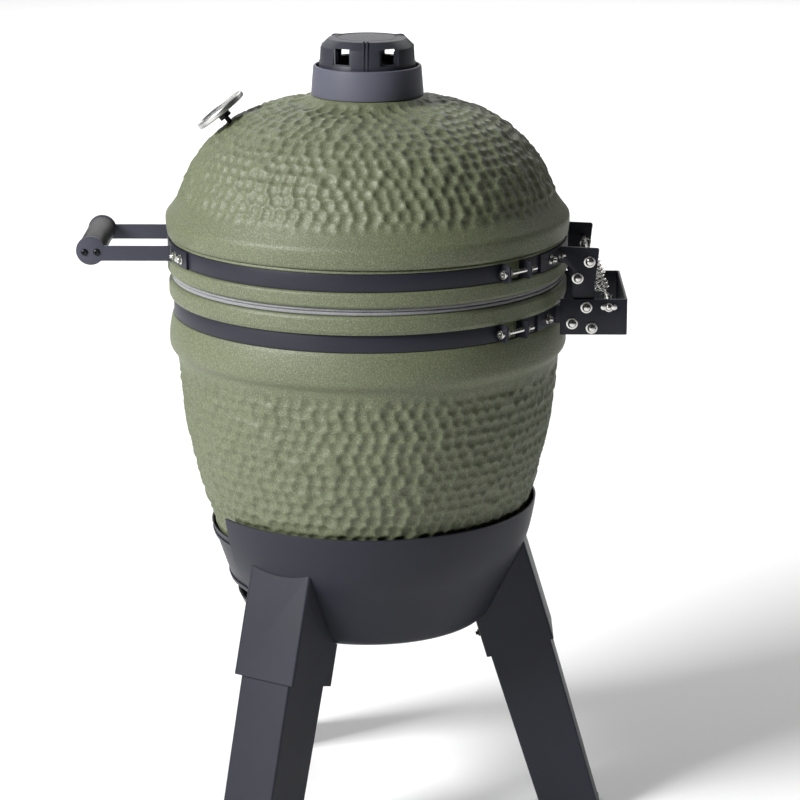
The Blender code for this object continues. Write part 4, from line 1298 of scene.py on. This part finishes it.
# ------------------------------------------------------------------ top vent
@dataclass
class TopVent:
    """A tapered ring on the dome, a slotted sleeve and the cap that turns over it."""

    window: float = 0.0215
    hood: float = 0.0275
    first: float = 28.7
    rib_turn: float = -1.3
    facets: int = 144

    def cutters(self, outline: Outline, width: float) -> Shape:
        """Six cutters, drawn in (r, z), evenly spaced round the axis."""
        turns = [Matrix.Rotation(math.radians(self.first + 60.0 * index), 4, "Z")
                 for index in range(6)]
        return joined(moved(plate(outline, width), turn @ ON_EDGE) for turn in turns)

    def ring(self) -> Shape:
        """The tapered outer ring and the throat that drops through the dome."""
        outline = [(0.0680, 0.2717), (0.0707, 0.2717), (0.0719, 0.2705), (0.0751, 0.2329),
                   (0.0515, 0.2329), (0.0515, 0.2045), (0.0480, 0.2045), (0.0480, 0.2560),
                   (0.0585, 0.2600), (0.0680, 0.2600)]
        return spun(fillet(outline, 0.0009, 3), self.facets)

    def sleeve(self) -> Shape:
        """The fixed inner sleeve with six gaps."""
        shape = spun(fillet([(0.0575, 0.2950), (0.0575, 0.2603), (0.0550, 0.2603),
                             (0.0550, 0.2950)], 0.0005, 2), self.facets)
        gap = rect(0.045, 0.070, 0.2775, 0.310)
        return soften(carved(shape, self.cutters(gap, self.window)), 0.0003, 1, 50.0)

    def cap(self) -> Shape:
        """The cap: chamfered crown, six hooded windows and ribs."""
        outline = fillet([(0.0, 0.3085), (0.0385, 0.3081), (0.0392, 0.3074), (0.0410, 0.3074),
                          (0.0418, 0.3083), (0.0516, 0.3073), (0.0628, 0.2972), (0.0650, 0.2610),
                          (0.0612, 0.2610), (0.0592, 0.2955), (0.0500, 0.3035), (0.0, 0.3045)],
                         0.0010, 3, False)
        body = spun(outline, self.facets, False)
        window = rect(0.0465, 0.080, 0.2780, 0.2990)
        hood = [(0.0608, 0.2770), (0.080, 0.2770), (0.080, 0.3150), (0.0560, 0.3150),
                (0.0535, 0.3060), (0.0585, 0.3000), (0.0608, 0.2990)]
        body = carved(carved(body, self.cutters(window, self.window)), self.cutters(hood, self.hood))
        body = soften(body, 0.0004, 2, 40.0)
        return joined([body, *self.ribs()])

    def ribs(self) -> list[Shape]:
        """Twin ribs that run up the side and over the crown, three times round."""
        line = [(0.0410, 0.3070), (0.0518, 0.3064), (0.0622, 0.2968), (0.0642, 0.2625),
                (0.0656, 0.2625), (0.0640, 0.2978), (0.0526, 0.3090), (0.0410, 0.3090)]
        parts = []
        for index in range(3):
            turn = Matrix.Rotation(math.radians(self.rib_turn + 120.0 * index), 4, "Z")
            for shift in (-0.0024, 0.0024):
                rib = plate(line, 0.0026, 0.0005)
                parts.append(moved(rib, turn @ Matrix.Translation((0, shift, 0)) @ ON_EDGE))
        return parts

    def build(self, shop: Shop) -> None:
        """Makes the vent."""
        shop.piece("vent_ring", self.ring(), VENT_COAT, Body.LID, ["vent_base"])
        shop.piece("vent_inner_sleeve", self.sleeve(), VENT_COAT, Body.LID, ["vent_sleeve"])
        shop.piece("vent_turning_cap", self.cap(), CAP_COAT, Body.CAP, ["vent_cap"])


# ------------------------------------------------------------------ thermometer
@dataclass
class Thermometer:
    """A round dial on a stem through the front of the dome."""

    centre: Point2 = (-0.196, 0.2105)
    tilt: float = 51.5
    radius: float = 0.0375

    @property
    def matrix(self) -> Matrix:
        """The dial's frame, +Z out of its face."""
        turn = Matrix.Rotation(math.radians(90.0 - self.tilt), 4, "X")
        return Matrix.Translation((0, *self.centre)) @ turn

    def ticks(self) -> Shape:
        """The scale's marks: a long one at each tenth place, short ones between."""
        parts = []
        for index in range(51):
            turn = math.radians(225.0 - index * 5.4)
            long = index % 5 == 0
            inner, width = (0.0262, 0.0009) if long else (0.0285, 0.0004)
            mark = block((inner, -width / 2, -0.00138), (0.0310, width / 2, -0.00128))
            parts.append(moved(mark, Matrix.Rotation(turn, 4, "Z")))
        return joined(parts)

    def build(self, shop: Shop) -> None:
        """Makes the thermometer."""
        r = self.radius
        case = fillet([(r - 0.003, 0.0035), (r - 0.001, 0.0035), (r, 0.0022), (r, -0.0028),
                       (r - 0.0015, -0.0040), (0.0, -0.0040), (0.0, -0.0026),
                       (r - 0.003, -0.0026)], 0.0006, 3)
        case = [(max(radius, 0.0), height) for radius, height in case]
        disc = r - 0.0034
        dial = [(0.0, -0.0014), (disc, -0.0014), (disc, -0.0022), (0.0, -0.0022)]
        glass = [(0.0, 0.0026), (disc - 0.001, 0.0026), (disc, 0.0022), (disc, 0.0012), (0.0, 0.0012)]
        stem = fillet([(0.0, -0.0043), (0.0085, -0.0043), (0.0085, -0.0125), (0.0033, -0.0125),
                       (0.0033, -0.0620), (0.0, -0.0640)], 0.0005, 2, False)
        needle = plate(fillet([(0.0022, -0.010), (0.0026, 0.0), (0.0, 0.026), (-0.0026, 0.0),
                               (-0.0022, -0.010)], 0.0006, 2), 0.0006)
        hub = spun([(0.0, 0.0006), (0.0030, 0.0004), (0.0034, -0.0003), (0.0, -0.0003)], 28, False)
        pieces = (("dial_case", spun(case, 96), SATIN, "thermometer_case"),
                  ("dial_face", spun(dial, 96, False), DIAL, "thermometer_dial"),
                  ("dial_glass", spun(glass, 96, False), GLASS, "thermometer_glass"),
                  ("dial_stem", spun(stem, 40, False), BLACKENED, "thermometer_stem"),
                  ("dial_marks", self.ticks(), PLASTIC, None))
        for name, shape, finish, node in pieces:
            shop.piece(name, moved(shape, self.matrix), finish, Body.LID, [node] if node else ())
        pointer = moved(joined([needle, hub]), self.matrix @ lifted(-0.0004))
        shop.piece("dial_pointer", pointer, BLACKENED, Body.NEEDLE, ["thermometer_needle"])


# ------------------------------------------------------------------ cradle
@dataclass
class Cradle:
    """The steel bowl on three splayed legs, each a tube in a welded sleeve."""

    wall: float = 0.003
    lean: float = 16.75
    leg_radius: float = 0.2228
    leg_reference: float = -0.5727
    sleeve_end: float = -0.529
    sleeve_depth: float = 0.096
    sleeve_width: float = 0.0955
    tube_depth: float = 0.0845
    tube_width: float = 0.0776
    taper: float = 0.031
    cut_half: float = 35.0
    cut_bottom: float = -0.452
    tube_top: float = -0.497
    tube_end: float = -0.82
    foot_height: float = 0.0047
    foot_inset: float = 0.0050
    bolt_rise: float = 0.022
    legs: tuple[tuple[str, float], ...] = (("rear", 0.0), ("front_right", 122.0),
                                           ("front_left", 238.0))
    outline: tuple[Point2, ...] = (
        (0.2298, -0.318), (0.2278, -0.333), (0.2213, -0.363), (0.2125, -0.388), (0.1983, -0.416),
        (0.1826, -0.448), (0.1709, -0.472), (0.1620, -0.484), (0.1500, -0.489))

    def profile(self) -> list[Point2]:
        """The bowl's outer line, smoothed."""
        return smooth_line(self.outline, 6)

    def bowl(self) -> Shape:
        """The pressed bowl with its front cut away."""
        outer = self.profile() + [(0.0, -0.489)]
        inner = []
        for index, here in enumerate(outer[:-1]):
            back = Vector(outer[max(0, index - 1)])
            ahead = Vector(outer[min(len(outer) - 2, index + 1)])
            along = (ahead - back).normalized()
            inner.append((here[0] + along.y * self.wall, here[1] - along.x * self.wall))
        inner[0] = (inner[0][0], outer[0][1])
        inner = [point for point in inner if point[1] > -0.4855] + [(0.0, -0.4860)]
        rim = fillet([inner[1], inner[0], outer[0], outer[1]], 0.0012, 3, False)
        section = inner[::-1][:-2] + rim + outer[2:]
        shape = spun(section, 288, False)
        wedge = rect(0.10, 0.30, self.cut_bottom, -0.25)
        cut = swept(wedge, 270.0 - self.cut_half, 270.0 + self.cut_half, 48)
        return carved(shape, cut)

    def leg_matrix(self, angle: float) -> Matrix:
        """A leg's frame: +Z up along it, +Y outwards."""
        spin = Matrix.Rotation(-math.radians(angle), 4, "Z")
        shift = Matrix.Translation((0.0, self.leg_radius, self.leg_reference))
        return spin @ shift @ Matrix.Rotation(math.radians(self.lean), 4, "X")

    def along(self, height: float) -> float:
        """Distance along a leg's axis of a height."""
        return (height - self.leg_reference) / math.cos(math.radians(self.lean))

    def tube(self, ends: Sequence[tuple[float, float, float]], corner: float, wall: float) -> Shape:
        """A rounded square tube.

        Args:
            ends: Height, depth and width at each end, from the bottom up.
            corner: Outer corner radius.
            wall: Wall thickness.

        Returns:
            The closed mesh.
        """
        shape = bmesh.new()
        loops = []
        for height, depth, width in ends:
            for inset in (0.0, wall):
                x, y = width / 2 - inset, depth / 2 - inset
                ring = fillet([(x, -y), (x, y), (-x, y), (-x, -y)], max(corner - inset, 0.0012), 5)
                loops.append([shape.verts.new((*point, height)) for point in ring])
        low_out, low_in, high_out, high_in = loops
        for first, second in ((low_out, high_out), (high_out, high_in), (high_in, low_in),
                              (low_in, low_out)):
            for index in range(len(first)):
                after = (index + 1) % len(first)
                shape.faces.new((first[index], first[after], second[after], second[index]))
        return tidy(shape)

    def sleeve(self, matrix: Matrix) -> Shape:
        """The sleeve, its top cut to the bowl's shape."""
        low = self.along(self.sleeve_end)
        ends = [(low, self.sleeve_depth, self.sleeve_width),
                (low + 0.26, self.sleeve_depth, self.sleeve_width)]
        shape = moved(self.tube(ends, 0.0042, 0.003), matrix)
        outline = [(0.0, -0.20), (0.26, -0.20), (0.26, -0.31)]
        outline += [(radius + 0.0003, height - 0.0003) for radius, height in self.profile()]
        outline.append((0.0, -0.4893))
        return carved(shape, spun(outline, 288, False))

    def leg(self, matrix: Matrix) -> Shape:
        """The tapered tube down to the foot."""
        ends = []
        for height in (self.along(self.tube_end), self.along(self.tube_top)):
            ends.append((height, self.tube_depth + self.taper * height,
                         self.tube_width + 0.008 * height))
        shape = moved(self.tube(ends, 0.0035, 0.002), matrix)
        return carved(shape, block((-0.6, -0.6, -1.0), (0.6, 0.6, -RIM_Z + self.foot_inset)))

    def foot(self, matrix: Matrix) -> Shape:
        """The plastic foot that closes a leg."""
        depth = self.tube_depth + self.taper * self.along(self.tube_end) + 0.002
        middle = -RIM_Z + self.foot_height / 2
        ring = []
        for x, y in ((1, -1), (1, 1), (-1, 1), (-1, -1)):
            top = matrix @ Vector((x * self.tube_width / 2, y * depth / 2, 0.0))
            slope = matrix.to_3x3() @ Vector((0.0, 0.0, 1.0))
            at = top + slope * ((middle - top.z) / slope.z)
            ring.append((at.x, at.y))
        return moved(plate(fillet(ring, 0.0040, 4), self.foot_height, 0.0008), lifted(middle))

    def build(self, shop: Shop) -> None:
        """Makes the cradle."""
        shop.piece("cradle_pressed_bowl", self.bowl(), COAT, Body.STAND, ["cradle_bowl"])
        pad = fillet(rect(0.100, 0.130, -0.4857, -0.4783), 0.001, 2)
        shop.piece("cradle_felt", spun(pad, 96), FELT, Body.STAND, ["cradle_pad"])
        for where, angle in self.legs:
            matrix = self.leg_matrix(angle)
            shop.piece(f"sleeve_{where}", self.sleeve(matrix), COAT, Body.STAND,
                       [f"leg_sleeve_{where}"])
            shop.piece(f"leg_{where}", self.leg(matrix), COAT, Body.STAND, [f"leg_tube_{where}"])
            shop.piece(f"foot_{where}", self.foot(matrix), PLASTIC, Body.STAND,
                       [f"foot_cap_{where}"])
            low = self.along(self.sleeve_end)
            head = matrix @ Vector((0.0, -self.sleeve_depth / 2, low + self.bolt_rise))
            inward = matrix.to_3x3() @ Vector((0.0, -1.0, 0.0))
            shop.piece(f"sleeve_bolt_{where}", FASTENERS.nut_on_stud(head, inward, 0.0056), BLACKENED,
                       Body.STAND, [f"leg_bolt_{where}"])


# ------------------------------------------------------------------ draft door
@dataclass
class Draft:
    """The curved plate in the bowl's cut-out, its rails, and the door that slides round."""

    radius: float = 0.213
    slope: float = 0.34
    reference: float = -0.36
    gap: float = 0.0021
    plate_half: float = 34.6
    rail_half: float = 33.0
    bolt_half: float = 32.5
    bolt_height: float = -0.3575
    opening: tuple[float, ...] = (0.15, 0.26, -0.418, -0.374)
    opening_turns: Point2 = (242.0, 268.0)
    door_turns: Point2 = (-31.0, 1.0)
    door_heights: Point2 = (-0.4225, -0.3690)
    knob_turn: float = 243.0
    knob_height: float = -0.39575

    def at(self, height: float, outside: float = 0.0) -> float:
        """Radius of the plate's outer face at a height."""
        return self.radius + self.slope * (height - self.reference) + outside

    def bent(self, start: float, end: float, low: float, high: float, outside: float,
             thick: float) -> Shape:
        """A plate bent round the grill, between front angles in degrees from -Y."""
        section = fillet([(self.at(high, outside) - thick, high), (self.at(low, outside) - thick, low),
                          (self.at(low, outside), low), (self.at(high, outside), high)], 0.0005, 2)
        return swept(section, 270.0 + start, 270.0 + end, max(2, round((end - start) / 1.2)))

    def frame(self) -> Shape:
        """The fixed plate with its opening and rails."""
        sheet = self.bent(-self.plate_half, self.plate_half, -0.433, -0.352, 0.0, 0.002)
        body = carved(sheet, swept(rect(*self.opening), *self.opening_turns, 20))
        rails = [self.bent(-self.rail_half, self.rail_half, low, low + 0.006, self.gap, 0.0025)
                 for low in (-0.3675, -0.4300)]
        return joined([body, *rails])

    def build(self, shop: Shop) -> None:
        """Makes the draft front."""
        shop.piece("draft_plate", self.frame(), COAT, Body.STAND, ["draft_frame"])
        door = self.bent(*self.door_turns, *self.door_heights, self.gap, 0.0015)
        shop.piece("draft_slide_plate", door, STAINLESS, Body.DOOR, ["draft_door"])
        out = outward(self.knob_turn)
        outline = fillet([(0.0, 0.0140), (0.0055, 0.0140), (0.0065, 0.0120), (0.0065, 0.0080),
                          (0.0035, 0.0065), (0.0035, 0.0022), (0.0, 0.0022)], 0.0006, 2, False)
        at = out * self.at(self.knob_height, self.gap) + Vector((0, 0, self.knob_height))
        shop.piece("draft_knob", moved(spun(outline, 32, False), aimed(at, out)), PLASTIC, Body.DOOR,
                   ["draft_door_knob"])
        reach, rise = self.at(self.bolt_height), Vector((0, 0, self.bolt_height))
        bolts = [FASTENERS.domed(out * reach + rise, out, 0.0048)
                 for out in (outward(270.0 - self.bolt_half), outward(270.0 + self.bolt_half))]
        shop.piece("draft_plate_bolts", joined(bolts), ZINC, Body.STAND)


# ------------------------------------------------------------------ inside
@dataclass
class FireInside:
    """Fire box, fire ring and the two grates."""

    facets: int = 160

    def grate(self, radius: float, middle: float, bar: float, pitch: float, rim: float) -> Shape:
        """A round grate of parallel bars in a rim, with two cross bars below.

        Args:
            radius: Outer radius.
            middle: Height of the bars' middle.
            bar: Bar radius.
            pitch: Distance between bars.
            rim: Radius of the rim's wire.

        Returns:
            The mesh.
        """
        inside = radius - rim
        ring = [Vector((inside * math.cos(t), inside * math.sin(t), middle))
                for t in np.linspace(0.0, math.tau, 121)[:-1]]
        parts = [tube_mesh(ring, rim, 3, True)]
        count = int(inside / pitch)
        for index in range(-count, count + 1):
            x = index * pitch
            reach = math.sqrt(inside ** 2 - x ** 2)
            if reach > 0.02:
                parts.append(tube_mesh([Vector((x, -reach, middle)), Vector((x, reach, middle))],
                                       bar, 2))
        for y in (-0.4, 0.4):
            reach = math.sqrt(inside ** 2 - (y * radius) ** 2)
            low = middle - bar * 0.6
            parts.append(tube_mesh([Vector((-reach, y * radius, low)),
                                    Vector((reach, y * radius, low))], bar, 2))
        return joined(parts)

    def box(self) -> Shape:
        """The fire box with its notch for the draft."""
        outline = [(0.217, -0.2003), (0.212, -0.25), (0.196, -0.31), (0.170, -0.37), (0.152, -0.41),
                   (0.130, -0.4557), (0.085, -0.4557), (0.110, -0.388), (0.135, -0.388),
                   (0.151, -0.37), (0.178, -0.31), (0.194, -0.25), (0.198, -0.2003)]
        notch = swept(rect(0.05, 0.25, -0.440, -0.400), 270.0 - 26.0, 270.0 + 26.0, 20)
        return carved(spun(fillet(outline, 0.004, 3), self.facets), notch)

    def build(self, shop: Shop) -> None:
        """Makes the inside pieces."""
        shop.piece("inner_fire_box", self.box(), FIREBRICK, Body.STAND, ["fire_box"])
        ring = fillet([(0.218, -0.110), (0.218, -0.200), (0.198, -0.200), (0.196, -0.110)], 0.003, 3)
        shop.piece("inner_fire_ring", spun(ring, self.facets), FIREBRICK, Body.STAND, ["fire_ring"])
        shop.piece("iron_grate", self.grate(0.131, -0.3845, 0.0029, 0.0165, 0.0030), IRON,
                   Body.STAND, ["charcoal_grate"])
        shop.piece("steel_grate", self.grate(0.226, -0.1070, 0.0020, 0.0130, 0.0025), STAINLESS,
                   Body.STAND, ["cooking_grate"])


def main() -> None:
    """Builds every piece, then the studio."""
    shop = Shop()
    Ceramic().build(shop)
    Bands().build(shop, "upper", UPPER_SEAT, UPPER_MIDDLE, Body.LID)
    Bands().build(shop, "lower", LOWER_SEAT, LOWER_MIDDLE, Body.STAND)
    for part in (Hinge(), Handle(), TopVent(), Thermometer(), Cradle(), Draft(), FireInside()):
        part.build(shop)
    Studio().build()


@dataclass
class Studio:
    """Pale floor, soft lights and the camera."""

    distance: float = 3.908
    rise: float = 0.841
    azimuth: float = 91.3
    pitch: float = 14.76
    yaw: float = 0.635
    lens: float = 133.2

    def camera(self) -> None:
        """Places the camera at the grill's right, a little above its lid."""
        turn = math.radians(self.azimuth)
        data = bpy.data.cameras.new("camera")
        data.lens = self.lens
        data.sensor_width = 36.0
        data.clip_end = 60.0
        thing = linked("camera", data)
        thing.location = (math.sin(turn) * self.distance, AXIS_Y - math.cos(turn) * self.distance,
                          RIM_Z + self.rise)
        heading = turn - math.radians(self.yaw)
        thing.rotation_euler = (math.radians(90.0 - self.pitch), 0.0, heading)
        bpy.context.scene.camera = thing

    def floor(self) -> None:
        """A wide matt white floor."""
        shape = bmesh.new()
        bmesh.ops.create_grid(shape, x_segments=2, y_segments=2, size=40.0)
        data = bpy.data.meshes.new("floor")
        shape.to_mesh(data)
        shape.free()
        nodes = Nodes("studio_floor")
        nodes.constants(Base_Color=(0.90, 0.90, 0.90, 1.0), Roughness=0.9)
        tint = nodes.ramp(nodes.noise(2.0), [(0.0, (0.89, 0.89, 0.89)), (1.0, (0.91, 0.91, 0.91))])
        nodes.link(tint, nodes.shader.inputs["Base Color"])
        data.materials.append(nodes.material)
        linked("floor", data)

    def light(self, name: str, place: Sequence[float], size: Sequence[float], power: float,
              aim: Sequence[float] = (0.0, 0.0, 0.0)) -> None:
        """An area light aimed at a point in the grill's frame.

        Args:
            name: The light's name.
            place: Where it stands, in the grill's frame.
            size: Its width and height.
            power: Watts.
            aim: Where it points, in the grill's frame.
        """
        data = bpy.data.lights.new(name, "AREA")
        data.shape = "RECTANGLE"
        data.size, data.size_y = size
        data.energy = power
        start, target = ORIGIN @ Vector(place), ORIGIN @ Vector(aim)
        linked(name, data).matrix_world = aimed(start, start - target)

    def build(self) -> None:
        """Makes the whole set."""
        self.camera()
        self.floor()
        world = bpy.data.worlds.new("studio")
        world.use_nodes = True
        world.node_tree.nodes["Background"].inputs["Color"].default_value = (1.0, 1.0, 1.0, 1.0)
        world.node_tree.nodes["Background"].inputs["Strength"].default_value = 0.03
        bpy.context.scene.world = world
        bpy.context.scene.view_settings.view_transform = "Standard"
        self.light("key", (3.4, -4.7, 3.4), (2.3, 2.3), 760.0)
        self.light("rim", (-2.2, 3.6, 1.4), (0.5, 2.4), 9.0)
        self.light("card", (-8.0, -2.0, 1.2), (7.0, 2.4), 48.0)
        self.light("backdrop", (-6.5, 0.0, 4.0), (8.0, 9.0), 560.0, (-6.5, 0.0, 0.0))


if __name__ == "__main__":
    main()
